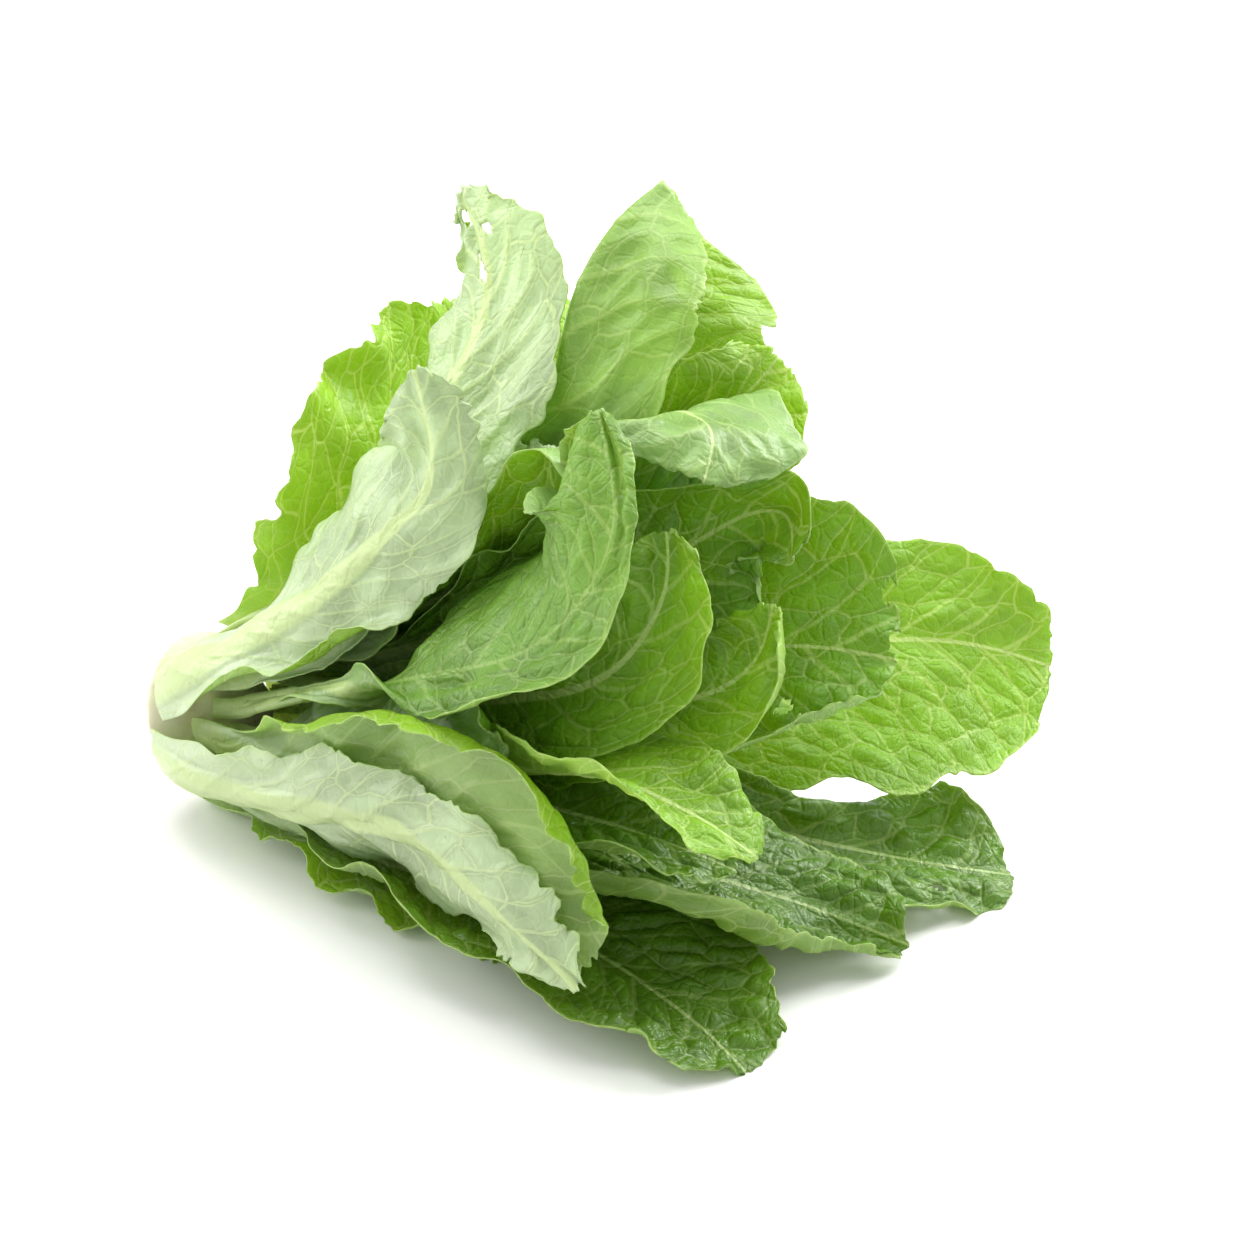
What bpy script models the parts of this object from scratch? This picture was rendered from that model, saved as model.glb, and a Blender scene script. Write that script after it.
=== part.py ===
"""A head of romaine lettuce lying on its side with its leaves spread. Sizes are in millimetres and
become metres as each mesh is made. Z is up, Z = 0 is the surface that the head lies on, and the
origin is under the middle of the head's box.

Each leaf is one sheet, its inner face, laid along a midrib and then thickened outwards. The sheets
are first bent to their own rows of the table, and then eased apart until no leaf touches another."""

import math

import bpy
import numpy as np
from mathutils import Vector
from mathutils.bvhtree import BVHTree

MM = 0.001

# The stem and the way the head lies.
STEM_HEIGHT = 27.2  # middle of the cut above the surface
AXIS_RISE = math.radians(15.0)  # the head's own axis above level
CORE_RADIUS = 23.0  # of the cut end
CORE_TIP_RADIUS = 6.5
CORE_LENGTH = 27.0
CORE_DOME = 2.5  # how far the cut face bulges
CORE_SIDES = 28

# Stations of the leaf table are measured from the middle of the cut, along these three directions.
SIDE_TURN = math.radians(35.0)
LOOK_DOWN = math.radians(28.0)
FRONT = np.array([math.sin(SIDE_TURN), -math.cos(SIDE_TURN), 0.0])
ACROSS = np.array([math.cos(SIDE_TURN), math.sin(SIDE_TURN), 0.0])
TOWARD = math.cos(LOOK_DOWN) * FRONT + math.sin(LOOK_DOWN) * np.array([0.0, 0.0, 1.0])
UPWARD = np.cross(TOWARD, ACROSS)
STEM = np.array([0.0, 0.0, STEM_HEIGHT])

AXIS = np.array([math.cos(AXIS_RISE), 0.0, math.sin(AXIS_RISE)])
CLOCK_TOP = np.array([-math.sin(AXIS_RISE), 0.0, math.cos(AXIS_RISE)])
CLOCK_FAR = np.cross(CLOCK_TOP, AXIS)

# The grid of each leaf.
ROWS = 14
COLUMNS = np.array([-1.0, -0.74, -0.44, -0.17, 0.0, 0.17, 0.44, 0.74, 1.0])
FINE_STEPS = 6  # cross-section steps between two columns

HIP_AT = 58.0  # along the axis from the cut
PAST_TIP = 1.03  # share of the length at which a blade would have no width
LINE_STEPS = 20  # steps of a midrib between two stations
LINE_CALMING = 30  # passes that even it out

# Thickness.
BLADE = 0.9
RIB_BASE = 3.6  # a midrib at its base, blade included
SLIMMER = 0.62  # how much thinner and narrower the base of the innermost leaf is
RIB_REACH = 9.0  # half-width of a midrib at its base
RIB_NARROWING = 0.45  # share of that half-width lost by the tip
RIB_FADE = 1.2  # how fast the rib's height falls off along the leaf

# How the leaves leave the stem.
FOOT_CLEAR = 1.0  # between the core and the outermost leaf
FIRST_FOOT = 2.0  # along the stem from the cut to the outermost leaf
BASE_RISE = 0.92  # how much further along the stem each next leaf starts
BASE_SPREAD = 0.60  # how much further in each next leaf starts
RING = 5  # the outermost leaves, whose wide bases wrap the stem
RING_OUT = 2.2  # and stand this much further out
FIRST_LEAN = 0.5  # outward slope of the outermost leaf where it leaves the stem
LEAN_STEP = 0.018  # and how much less it is with each next leaf

# The small waves and dents of the blades.
FIRST_SEED = 100
DENT = 0.8  # typical depth
WIDTH_WAVE = 0.05  # share of the width by which the margin goes in and out
SECOND_WAVE = 1.7  # how much more often it does than the margin rises and falls


def leaf(name, turn, hip, stations, face, width, cup=(25, 25), hem=(0, 0), ruffle=2.5, waves=4.0,
         base=5.5, widest=0.62, pointed=0.5, keel=(0, 0), late=0.0, hem_to=1.0,
         fan=(-0.1, -0.1)):
    """One row of the leaf table, with its values named."""
    return dict(name=name, turn=turn, hip=hip, stations=stations, face=face, width=width, cup=cup, hem=hem,
                ruffle=ruffle, waves=waves, base=base, widest=widest, pointed=pointed, keel=keel,
                late=late, hem_to=hem_to, fan=fan)


# turn: where the leaf leaves the stem, in degrees about the head's axis, 0 at the top.
# hip: how far from the axis its midrib is at HIP_AT, and at what turn.
# stations: the rest of its midrib, as (across, upward, toward).
# face: where the inner side faces, half-way and at the tip.
# width: half-widths left and right of the midrib, seen from the inner side with the tip up.
# keel: how far each half is folded up along the midrib, towards the inner side, in degrees.
# cup: how far each half turns towards the inner side, in degrees, and hem: its margin alone, as far
# along the leaf as hem_to. ruffle: how high the margin waves, and waves: how often.
# base: half-width of the leaf's foot. widest, late, pointed: where along the leaf it is widest, where
# it begins to widen, and how its tip narrows, on both sides or on each.
# fan: how far each half's margin at the tip runs ahead of the midrib, as a share of its width.
# The rows run from the outermost leaf to the innermost.
LEAVES = [
    leaf("leaf_floor_near", -175, (41, -165), ((65, -53, 42), (112, -68, 70)),
         ((-0.1, 0.95, 0.3), (-0.1, 0.9, 0.4)), (30, 20), ruffle=3.5, waves=5.0, base=12.5),
    leaf("leaf_back_left", 52, (60, 42), ((72, 86, 5), (92, 119, -15)),
         ((0.3, -0.3, 0.9), (0.3, -0.2, 0.9)), (44, 40), ruffle=4.0, waves=6.0, widest=0.5, pointed=0.7,
         base=9.0),
    leaf("leaf_near_low", -110, (35, -112), ((68, -31, 88), (94, -50, 115), (118, -71, 128)),
         ((0.3, 0.35, -0.85), (0.3, 0.4, -0.85)), (20, 21), cup=(35, 35), pointed=0.7, base=13.0),
    leaf("leaf_right_far", 97, (36, 92), ((135, 9, 20), (211, 21, 25), (259, 12, 10)),
         ((-0.2, 0.4, 0.9), (0.0, 0.3, 0.95)), (35, 56), base=9.0),
    leaf("leaf_near_high", -48, (35, -18), ((60, 46, 80), (78, 64, 98), (73, 94, 103)),
         ((0.5, -0.3, -0.8), (0.6, -0.2, -0.75)), (22, 30), cup=(50, 20), hem=(-150, 0), hem_to=0.5,
         pointed=0.7, base=13.5),
    leaf("leaf_floor_far", 146, (39, 148), ((125, -40, 30), (165, -56, 30), (196, -62, 24)),
         ((-0.1, 0.85, 0.5), (-0.1, 0.85, 0.5)), (38, 38)),
    leaf("leaf_back_high", 26, (47, 44), ((86, 80, 22), (104, 112, 12), (108, 128, -2)),
         ((0.3, -0.3, 0.9), (0.3, -0.2, 0.9)), (26, 34), pointed=0.8),
    leaf("leaf_front_low", -150, (36, -155), ((112, -61, 80), (145, -80, 103), (162, -95, 121)),
         ((0.0, 0.9, 0.4), (0.0, 0.85, 0.5)), (38, 38), cup=(25, 40)),
    leaf("leaf_back_middle", 60, (40, 75), ((125, 36, 12), (165, 50, 2), (186, 55, -12)),
         ((-0.3, 0.0, 0.95), (-0.3, -0.1, 0.95)), (34, 34), base=4.8),
    leaf("leaf_right_low", 122, (34, 122), ((135, -27, 40), (199, -41, 45), (244, -49, 38)),
         ((-0.1, 0.8, 0.6), (0.0, 0.8, 0.6)), (40, 38)),
    leaf("leaf_top_left", -10, (37, 16), ((76, 84, 62), (92, 118, 66), (83, 150, 55)),
         ((0.6, -0.3, -0.7), (0.6, -0.1, -0.8)), (36, 26), widest=0.55, pointed=0.9, cup=(15, 30)),
    leaf("leaf_dark_low", 165, (29, 168), ((129, -39, 75), (174, -55, 69), (209, -67, 74)),
         ((0.0, 0.85, 0.5), (0.0, 0.85, 0.5)), (38, 40), hem=(0, 90)),
    leaf("leaf_top_middle", 36, (31, 38), ((104, 78, 72), (116, 118, 76), (130, 140, 72),
                                           (141, 150, 66)),
         ((0.3, -0.3, 0.9), (0.2, -0.3, 0.93)), (44, 60), cup=(20, 12), keel=(126, 0),
         widest=0.7, pointed=(0.6, 0.3), fan=(-0.1, 0.3)),
    leaf("leaf_near_inner", -90, (27, -101), ((76, -24, 96), (102, -45, 116), (119, -66, 120)),
         ((0.4, 0.35, -0.8), (0.4, 0.4, -0.8)), (25, 36), hem=(0, -120), ruffle=3.0),
    leaf("leaf_right_near", 106, (27, 97), ((123, 14, 50), (173, 19, 80), (205, 15, 88)),
         ((-0.2, 0.2, 0.95), (-0.1, 0.2, 0.95)), (60, 42), hem=(0, 70)),
    leaf("leaf_top_right", 66, (27, 63), ((129, 66, 68), (162, 86, 78), (174, 99, 74)),
         ((-0.2, -0.5, 0.8), (-0.2, -0.4, 0.9)), (34, 34)),
    leaf("leaf_folded_top", 5, (21, 12), ((118, 62, 78), (138, 84, 92), (152, 77, 118),
                                          (150, 62, 128)),
         ((0.2, -0.6, 0.7), (-0.3, 0.0, -0.9)), (44, 40), widest=0.72),
    leaf("leaf_torn", -32, (27, -22), ((84, 52, 66), (104, 66, 84), (118, 75, 92)),
         ((0.5, -0.5, -0.7), (0.5, -0.5, -0.7)), (20, 18), ruffle=2.0),
    leaf("leaf_right_cup", 48, (20, 50), ((140, 43, 88), (170, 58, 98), (175, 42, 108)),
         ((-0.3, -0.4, 0.8), (-0.5, -0.2, 0.8)), (30, 30), cup=(45, 45)),
    leaf("leaf_folded_near", -66, (22, -56), ((76, 9, 92), (108, 19, 130), (126, 44, 150),
                                              (126, 65, 150), (123, 80, 144)),
         ((-0.35, 0.5, 0.8), (-0.5, 0.3, 0.8)), (56, 17), cup=(-30, 20), widest=0.55,
         pointed=0.9, late=0.24),
    leaf("leaf_heart_rim", 92, (13, 95), ((129, 2, 90), (161, 10, 103), (170, 30, 106)),
         ((-0.6, 0.3, 0.7), (-0.7, 0.2, 0.7)), (26, 26), cup=(40, 40)),
    leaf("leaf_heart_low", 178, (15, 178), ((123, -29, 92), (160, -42, 103)),
         ((0.0, 0.8, 0.5), (0.0, 0.8, 0.5)), (28, 28), cup=(40, 40)),
    leaf("leaf_heart_cup", 15, (9, 25), ((113, 5, 100), (138, 26, 118), (141, 50, 120)),
         ((-0.5, -0.2, 0.8), (-0.4, -0.2, 0.9)), (26, 30), cup=(50, 60)),
    leaf("leaf_heart_small", -104, (16, -106), ((82, -4, 86), (94, -11, 103), (100, -18, 111)),
         ((0.5, 0.3, -0.8), (0.5, 0.3, -0.8)), (20, 20), cup=(30, 30)),
    leaf("leaf_heart_front", -135, (8, -125), ((113, -11, 114), (144, -22, 140), (164, -35, 146)),
         ((0.2, 0.7, 0.4), (0.2, 0.7, 0.5)), (28, 22), cup=(20, 50)),
]


def unit(vector):
    return vector / np.linalg.norm(vector, axis=-1, keepdims=True)


def smoothstep(x):
    x = np.clip(x, 0.0, 1.0)
    return x * x * (3.0 - 2.0 * x)


def from_table(values):
    values = np.asarray(values, float)
    return values[..., :1] * ACROSS + values[..., 1:2] * UPWARD + values[..., 2:3] * TOWARD


def radial(turn):
    angle = math.radians(turn)
    return math.cos(angle) * CLOCK_TOP + math.sin(angle) * CLOCK_FAR


def hermite(points, first):
    """A smooth line through the points, which sets off along `first`, as many short steps."""
    tangents = np.empty_like(points)
    tangents[1:-1] = (points[2:] - points[:-2]) / 2
    tangents[0] = first * np.linalg.norm(points[1] - points[0])
    tangents[-1] = 1.5 * (points[-1] - points[-2]) - tangents[-2] / 2
    t = np.linspace(0, 1, LINE_STEPS, endpoint=False)[:, None]
    line = []
    for p, q, m, n in zip(points[:-1], points[1:], tangents[:-1], tangents[1:]):
        line.append((2 * t**3 - 3 * t**2 + 1) * p + (t**3 - 2 * t**2 + t) * m
                    + (3 * t**2 - 2 * t**3) * q + (t**3 - t**2) * n)
    return np.concatenate(line + [points[-1:]])


def base_radius(order):
    """How far from the head's axis a leaf leaves the stem."""
    return CORE_RADIUS + FOOT_CLEAR - BASE_SPREAD * order + (RING_OUT if order < RING else 0.0)


def midrib(row, order):
    """The midrib's points at equal steps, its directions, and its length."""
    out = radial(row["turn"])
    radius = base_radius(order)
    start = STEM + AXIS * (FIRST_FOOT + BASE_RISE * order) + out * radius
    hip = STEM + AXIS * HIP_AT + radial(row["hip"][1]) * row["hip"][0]
    points = np.concatenate([[start, hip], STEM + from_table(row["stations"])])
    line = hermite(points, unit(AXIS + (FIRST_LEAN - LEAN_STEP * order) * out))
    steps = np.linalg.norm(np.diff(line, axis=0), axis=1)
    along = np.concatenate([[0.0], np.cumsum(steps)])
    for _ in range(LINE_CALMING):
        line[1:-1] = (line[:-2] + 2 * line[1:-1] + line[2:]) / 4
    at = np.linspace(0, along[-1], ROWS + 1)
    points = np.stack([np.interp(at, along, line[:, k]) for k in range(3)], axis=1)
    return points, unit(np.gradient(points, axis=0)), along[-1]


def half_width(row, order, s, side):
    """Half-width of the blade at the share s of its length."""
    full = row["width"][side]
    widest = row["widest"]
    late = row["late"]
    rise = smoothstep(np.clip((s - late) / (widest - late), 0, 1)) ** 0.9
    base = row["base"] * (1 - SLIMMER * order / len(LEAVES))
    fall = np.clip(1 - ((s - widest) / (PAST_TIP - widest)) ** 2, 0, 1)
    fall = fall ** np.broadcast_to(row["pointed"], 2)[side]
    return np.where(s < widest, base + (full - base) * rise, full * fall)


def sheet(row, order, grow, room):
    """The inner face of a leaf as a grid of points. grow is the share of its full width, and room what
    each row of it may keep of that on either side."""
    points, along, length = midrib(row, order)
    s = np.linspace(0, 1, ROWS + 1)
    inward = -radial(row["turn"]) * (1 - smoothstep(s / 0.2))[:, None]
    inward = inward - radial(row["hip"][1]) * smoothstep(s / 0.2)[:, None]
    mid_face = from_table(row["face"][0])
    tip_face = from_table(row["face"][1])
    blend_mid = smoothstep((s - 0.15) / 0.4)[:, None]
    blend_tip = smoothstep((s - 0.5) / 0.5)[:, None]
    facing = inward * (1 - blend_mid) + unit(mid_face) * blend_mid
    facing = facing * (1 - blend_tip) + unit(tip_face) * blend_tip
    facing = facing - (facing * along).sum(1, keepdims=True) * along
    normal = unit(facing)
    right = np.cross(along, normal)
    rng = np.random.default_rng(FIRST_SEED + order)
    grid = np.empty((ROWS + 1, len(COLUMNS), 3))
    middle = len(COLUMNS) // 2
    grid[:, middle] = points
    blend = smoothstep(s / 0.3)
    wrap = math.degrees(row["base"] / base_radius(order))
    for side, way in ((0, -1), (1, 1)):
        width = half_width(row, order, s, side) * grow * room[:, side]
        phase = rng.uniform(0, 2 * math.pi)
        wave = np.sin(2 * math.pi * row["waves"] * s + phase)
        wave2 = np.sin(2 * math.pi * (row["waves"] * SECOND_WAVE) * s + rng.uniform(0, 6))
        width = width * (1 + WIDTH_WAVE * wave2 * blend)
        cup = wrap * (1 - blend) + row["cup"][side] * blend
        keel = row["keel"][side] * smoothstep((s - 0.1) / 0.4)
        hem = row["hem"][side] * smoothstep((s - 0.05) / 0.2) * (1 - smoothstep((s - row["hem_to"]) / 0.15))
        levels = np.abs(COLUMNS[middle:]) if way > 0 else np.abs(COLUMNS[:middle + 1])[::-1]
        across = np.zeros(ROWS + 1)
        height = np.zeros(ROWS + 1)
        for column in range(1, len(levels)):
            before, after = levels[column - 1], levels[column]
            for k in range(FINE_STEPS):
                v = before + (after - before) * (k + 0.5) / FINE_STEPS
                angle = np.radians(keel + cup * v + hem * smoothstep((v - 0.6) / 0.4))
                step = width * (after - before) / FINE_STEPS
                across = across + np.cos(angle) * step
                height = height + np.sin(angle) * step
            lift = grow * row["ruffle"] * after**2.5 * wave * blend
            fan = row["fan"][side] * width * after**2 * smoothstep((s - 0.7) / 0.3)
            local_a = across - np.sin(angle) * lift
            local_h = height + np.cos(angle) * lift
            grid[:, middle + way * column] = (points + way * right * local_a[:, None]
                                              + normal * local_h[:, None] + along * fan[:, None])
    bumps = rng.normal(0, DENT, (ROWS + 1, len(COLUMNS)))
    bumps *= blend[:, None] * (np.abs(COLUMNS) > 0.1)
    grid += normal[:, None] * bumps[..., None] * grow
    return grid


def thickness(row, order):
    """How thick the leaf is at each point of its grid: a rib along the middle, and the blade."""
    s = np.linspace(0, 1, ROWS + 1)[:, None]
    mean = (half_width(row, order, s[:, 0], 0) + half_width(row, order, s[:, 0], 1)) / 2
    away = np.abs(COLUMNS)[None, :] * mean[:, None]
    reach = RIB_REACH * (1 - RIB_NARROWING * s)
    root = smoothstep((s + 0.02) / 0.08)
    rib = root * (RIB_BASE * (1 - SLIMMER * order / len(LEAVES)) - BLADE) * (1 - s) ** RIB_FADE
    return BLADE + rib * np.clip(1 - away / reach, 0, 1)


def triangles():
    """The triangles of a grid, split one way and the other in turn."""
    faces = []
    wide = len(COLUMNS)
    for r in range(ROWS):
        for c in range(wide - 1):
            a, b = r * wide + c, r * wide + c + 1
            d, e = a + wide, b + wide
            if (r + c) % 2:
                faces += [(a, b, e), (a, e, d)]
            else:
                faces += [(a, b, d), (b, e, d)]
    return faces


FACES = triangles()




# Easing apart, in millimetres. The leaves start as narrow strips and widen in small steps, and at
# each step a leaf that comes too near its neighbour moves away on the side where it already is.
GROW_STEPS = 30
SETTLE_STEPS = 40
FIRST_WIDTH = 0.12
GAP_BASE = 0.5  # between two leaves at the stem
GAP_TIP = 2.2  # and from a third of their length outwards
REACH = 9.0  # how far a leaf feels its neighbour
PAST_EDGE = 3.0  # how far beyond a neighbour's margin it still counts
FLOOR_GAP = 0.3
NARROWER = 0.9  # what a blade keeps of its width where it would cross its neighbour
ROUND_EDGE = 3.0  # this far behind a neighbour, a point has gone round its margin
SHELL_STEP = 44  # from this step on, the thickened leaves are kept apart too
SLACK = 0.996  # how much of a move is kept from one step to the next
NEAR_RIB = 0.15  # columns this near the middle are never narrowed
SURE = 2.5  # a point this far off is on the side where it is now
OWN_PUSH = 0.7  # share of a push that stays where it is
SPREAD_PUSH = 0.6  # and the share that its neighbours take up
FEW = 0.35  # least weight that a point's pushes are divided by
CALM = 0.25  # how far a moved point goes towards its neighbours
HELD_FOOT = 0.6  # how freely the leaf's foot moves
CORE_CLEAR = 0.6  # between the core and a leaf


def corner_normals(points):
    """A unit normal at each point of a grid, on the side that its leaf faces."""
    down = np.gradient(points, axis=0)
    side = np.gradient(points, axis=1)
    return unit(np.cross(side, down))


def smoothed(field, times):
    """A field over a grid, spread towards its neighbours."""
    for _ in range(times):
        wide = np.pad(field, ((1, 1), (1, 1), (0, 0)), mode="edge")
        around = (wide[:-2, 1:-1] + wide[2:, 1:-1] + wide[1:-1, :-2] + wide[1:-1, 2:]) / 4
        field = (field + around) / 2
    return field


def sample_matrix():
    """Which grid points each sample is mixed from: the points, the middles of the squares, and three
    more along each piece of the margin."""
    rows, wide = ROWS + 1, len(COLUMNS)
    at = np.arange(rows * wide).reshape(rows, wide)
    picks = [((p, 1.0),) for p in at.reshape(-1)]
    for r in range(rows - 1):
        for c in range(wide - 1):
            picks.append(tuple((p, 0.25) for p in (at[r, c], at[r + 1, c], at[r, c + 1],
                                                   at[r + 1, c + 1])))
    edges = [(at[r, c], at[r + 1, c]) for r in range(rows - 1) for c in (0, wide - 1)]
    edges += [(at[rows - 1, c], at[rows - 1, c + 1]) for c in range(wide - 1)]
    for a, b in edges:
        for share in (0.25, 0.5, 0.75):
            picks.append(((a, share), (b, 1 - share)))
    matrix = np.zeros((len(picks), rows * wide))
    for k, mix in enumerate(picks):
        for p, share in mix:
            matrix[k, p] = share
    return matrix


def core_radius_at(x):
    return CORE_RADIUS + (CORE_TIP_RADIUS - CORE_RADIUS) * np.clip(x / CORE_LENGTH, 0, 1)


def off_core(grid):
    """Brings out the points that are inside the stem's core."""
    away = grid - STEM
    x = away @ AXIS
    out = away - x[..., None] * AXIS
    distance = np.linalg.norm(out, axis=-1)
    least = core_radius_at(x) + CORE_CLEAR
    short = np.where(x < CORE_LENGTH + 1.5, np.clip(least - distance, 0, None), 0)
    return grid + unit(out + 1e-9) * short[..., None]


def outer_face(grid, thick):
    """The outer face of a leaf, its thickness behind the inner one."""
    return grid - corner_normals(grid) * thick[..., None]


def shell_faces():
    """The triangles of a thickened leaf, and the sheet's triangle that each lies at."""
    faces, owner = list(FACES), list(range(len(FACES)))
    points = (ROWS + 1) * len(COLUMNS)
    for index, (a, b, c) in enumerate(FACES):
        faces.append((a + points, c + points, b + points))
        owner.append(index)
        for p, q in ((a, b), (b, c), (c, a)):
            margin = all(k % len(COLUMNS) in (0, len(COLUMNS) - 1) for k in (p, q))
            end = all(k // len(COLUMNS) in (0, ROWS) for k in (p, q))
            if margin and abs(p - q) == len(COLUMNS) or end and abs(p - q) == 1:
                faces += [(p, q, q + points), (p, q + points, p + points)]
                owner += [index, index]
    return faces, np.array(owner)


SHELL_FACES, SHELL_OWNER = shell_faces()


def ease(thick):
    """The sheets of all leaves, moved until none of them touches another, the core or the surface."""
    count = len(LEAVES)
    matrix = sample_matrix()
    s = np.linspace(0, 1, ROWS + 1)
    rows = GAP_BASE + (GAP_TIP - GAP_BASE) * smoothstep(s / 0.4)
    gaps = matrix @ np.repeat(rows, len(COLUMNS))
    face_array = np.array(FACES)
    thick_samples = [matrix @ t.reshape(-1) for t in thick]
    face_thick = [t.reshape(-1)[face_array].mean(1) for t in thick]
    hold = (HELD_FOOT + (1 - HELD_FOOT) * smoothstep(s / 0.15))[:, None, None]
    shape = (ROWS + 1, len(COLUMNS), 3)
    moved = [np.zeros(shape) for _ in range(count)]
    memory = {}
    room = np.ones((count, ROWS + 1, 2))
    face_row = face_array[:, 0] // len(COLUMNS)
    face_level = COLUMNS[face_array % len(COLUMNS)].mean(1)
    for step in range(GROW_STEPS + SETTLE_STEPS):
        grow = min(1.0, FIRST_WIDTH + (1 - FIRST_WIDTH) * step / (GROW_STEPS - 1))
        aims = [sheet(row, order, grow, room[order]) for order, row in enumerate(LEAVES)]
        grids = [aim + move for aim, move in zip(aims, moved)]
        flats = [grid.reshape(-1, 3) for grid in grids]
        points = [matrix @ flat for flat in flats]
        listed = [p.tolist() for p in points]
        normals = [unit(matrix @ corner_normals(grid).reshape(-1, 3)) for grid in grids]
        trees = [BVHTree.FromPolygons(flat.tolist(), FACES) for flat in flats]
        pushes = [np.zeros_like(flat) for flat in flats]
        less = np.ones_like(room)
        shares = [np.zeros(len(flat)) for flat in flats]
        crossing = set()
        for i in range(count):
            for j in range(i + 1, count):
                if (flats[i].min(0) > flats[j].max(0)).any() or (flats[j].min(0) > flats[i].max(0)).any():
                    continue
                met = trees[i].overlap(trees[j])
                if not met:
                    continue
                memory.pop((i, j), None)
                memory.pop((j, i), None)
                crossing.add((i, j))
                crossing.add((j, i))
                ends = np.array(met)
                levels = [face_level[ends[:, 0]], face_level[ends[:, 1]]]
                narrow = 0 if np.abs(levels[0]).mean() > np.abs(levels[1]).mean() else 1
                leaf_at = (i, j)[narrow]
                for level, face in zip(levels[narrow], ends[:, narrow]):
                    if abs(level) > NEAR_RIB:
                        r = face_row[face]
                        less[leaf_at, r:r + 2, int(level > 0)] = NARROWER
        if step >= SHELL_STEP:
            shells = [np.concatenate([flat, outer_face(grid, t).reshape(-1, 3)])
                      for flat, grid, t in zip(flats, grids, thick)]
            rounds = [BVHTree.FromPolygons(shell.tolist(), SHELL_FACES) for shell in shells]
            for i in range(count):
                for j in range(i + 1, count):
                    met = rounds[i].overlap(rounds[j])
                    if not met:
                        continue
                    ends = SHELL_OWNER[np.array(met)]
                    levels = face_level[ends]
                    narrow = 0 if np.abs(levels[:, 0]).mean() > np.abs(levels[:, 1]).mean() else 1
                    for level, face in zip(levels[:, narrow], ends[:, narrow]):
                        r = face_row[face]
                        less[(i, j)[narrow], r:r + 2, int(level > 0)] = NARROWER
        for i in range(count):
            low, high = flats[i].min(0) - REACH, flats[i].max(0) + REACH
            find = trees[i].find_nearest
            for j in range(count):
                if i == j:
                    continue
                near = np.nonzero(((points[j] > low) & (points[j] < high)).all(1))[0]
                hits = [(k,) + find(listed[j][k], REACH) for k in near.tolist()]
                hits = [hit for hit in hits if hit[1] is not None]
                if not hits:
                    memory.pop((i, j), None)
                    continue
                at = np.array([hit[0] for hit in hits])
                spots = np.array([hit[1][:] for hit in hits])
                norms = np.array([hit[2][:] for hit in hits])
                faces = np.array([hit[3] for hit in hits])
                off = points[j][at] - spots
                height = (off * norms).sum(1)
                sideways = np.sqrt(np.clip((off * off).sum(1) - height**2, 0, None))
                facing = (norms * normals[j][at]).sum(1)
                side = np.where(height > 0, 1.0, -1.0)
                if (i, j) in crossing:
                    close = np.clip(1 - np.abs(height) / REACH, 0, 1) * (sideways < PAST_EDGE)
                    side = np.full(len(side), 1.0 if (side * close).sum() > 0 else -1.0)
                    side = np.where(np.abs(height) < SURE, side, np.where(height > 0, 1.0, -1.0))
                known = memory.get((i, j))
                if known is not None:
                    side = np.where(known[at] != 0, known[at], side)
                    side = np.where(side * height < -ROUND_EDGE, -side, side)
                side = np.where(sideways > PAST_EDGE, np.where(height > 0, 1.0, -1.0), side)
                if (i, j) not in crossing:
                    known = np.zeros(len(points[j]))
                    known[at] = np.where(sideways < PAST_EDGE, side, 0)
                    memory[(i, j)] = known
                need = gaps[at] + np.where(side > 0, (facing > 0) * thick_samples[j][at],
                                           face_thick[i][faces] + (facing < 0) * thick_samples[j][at])
                short = need - side * height
                weight = np.clip(1 - sideways / PAST_EDGE, 0, 1)
                used = (short > 0) & (weight > 0)
                if not used.any():
                    continue
                push = norms[used] * (side * short * 0.5)[used, None]
                weight = weight[used]
                mix = matrix[at[used]] * weight[:, None]
                pushes[j] += mix.T @ push
                shares[j] += mix.sum(0)
                corners = face_array[faces[used]]
                for corner in range(3):
                    np.add.at(pushes[i], corners[:, corner], -push * weight[:, None] / 3)
                    np.add.at(shares[i], corners[:, corner], weight / 3)
        for i in range(count):
            share = shares[i]
            mean = pushes[i] / np.maximum(share, FEW)[:, None]
            field = mean.reshape(shape)
            field = OWN_PUSH * field + SPREAD_PUSH * smoothed(field, 4)
            grid = aims[i] + moved[i] * (SLACK if step < GROW_STEPS else 1.0) + field * hold
            grid = off_core(grid)
            grid[..., 2] = np.maximum(grid[..., 2], thick[i] + FLOOR_GAP)
            moved[i] = grid - aims[i]
            calm = smoothed(moved[i], 1)
            moved[i] = moved[i] + CALM * (calm - moved[i]) * hold
        around = np.minimum(np.pad(less, ((0, 0), (1, 0), (0, 0)), mode="edge")[:, :-1],
                            np.pad(less, ((0, 0), (0, 1), (0, 0)), mode="edge")[:, 1:])
        room = room * (less + around) / 2
    return [aim + move for aim, move in zip(aims, moved)]


SINK = 1.0  # how far the eased head settles
FLAT_BAND = 0.9  # points of the leaves this near the surface are laid flat on it


def centre_shift(grids):
    """How far the middle of the leaves' box is from the stem, along the surface."""
    every = np.concatenate([grid.reshape(-1, 3) for grid in grids])
    middle = (every.min(0) + every.max(0)) / 2
    middle[2] = SINK
    return np.round(middle, 1)


def material(name, colour, roughness):
    made = bpy.data.materials.new(name)
    made.use_nodes = True
    shader = made.node_tree.nodes["Principled BSDF"]
    shader.inputs["Base Color"].default_value = (*colour, 1.0)
    shader.inputs["Roughness"].default_value = roughness
    shader.inputs["Metallic"].default_value = 0.0
    made.diffuse_color = (*colour, 1.0)
    return made


def link(name, mesh, collection):
    made = bpy.data.objects.new(name, mesh)
    collection.objects.link(made)
    return made


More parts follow.
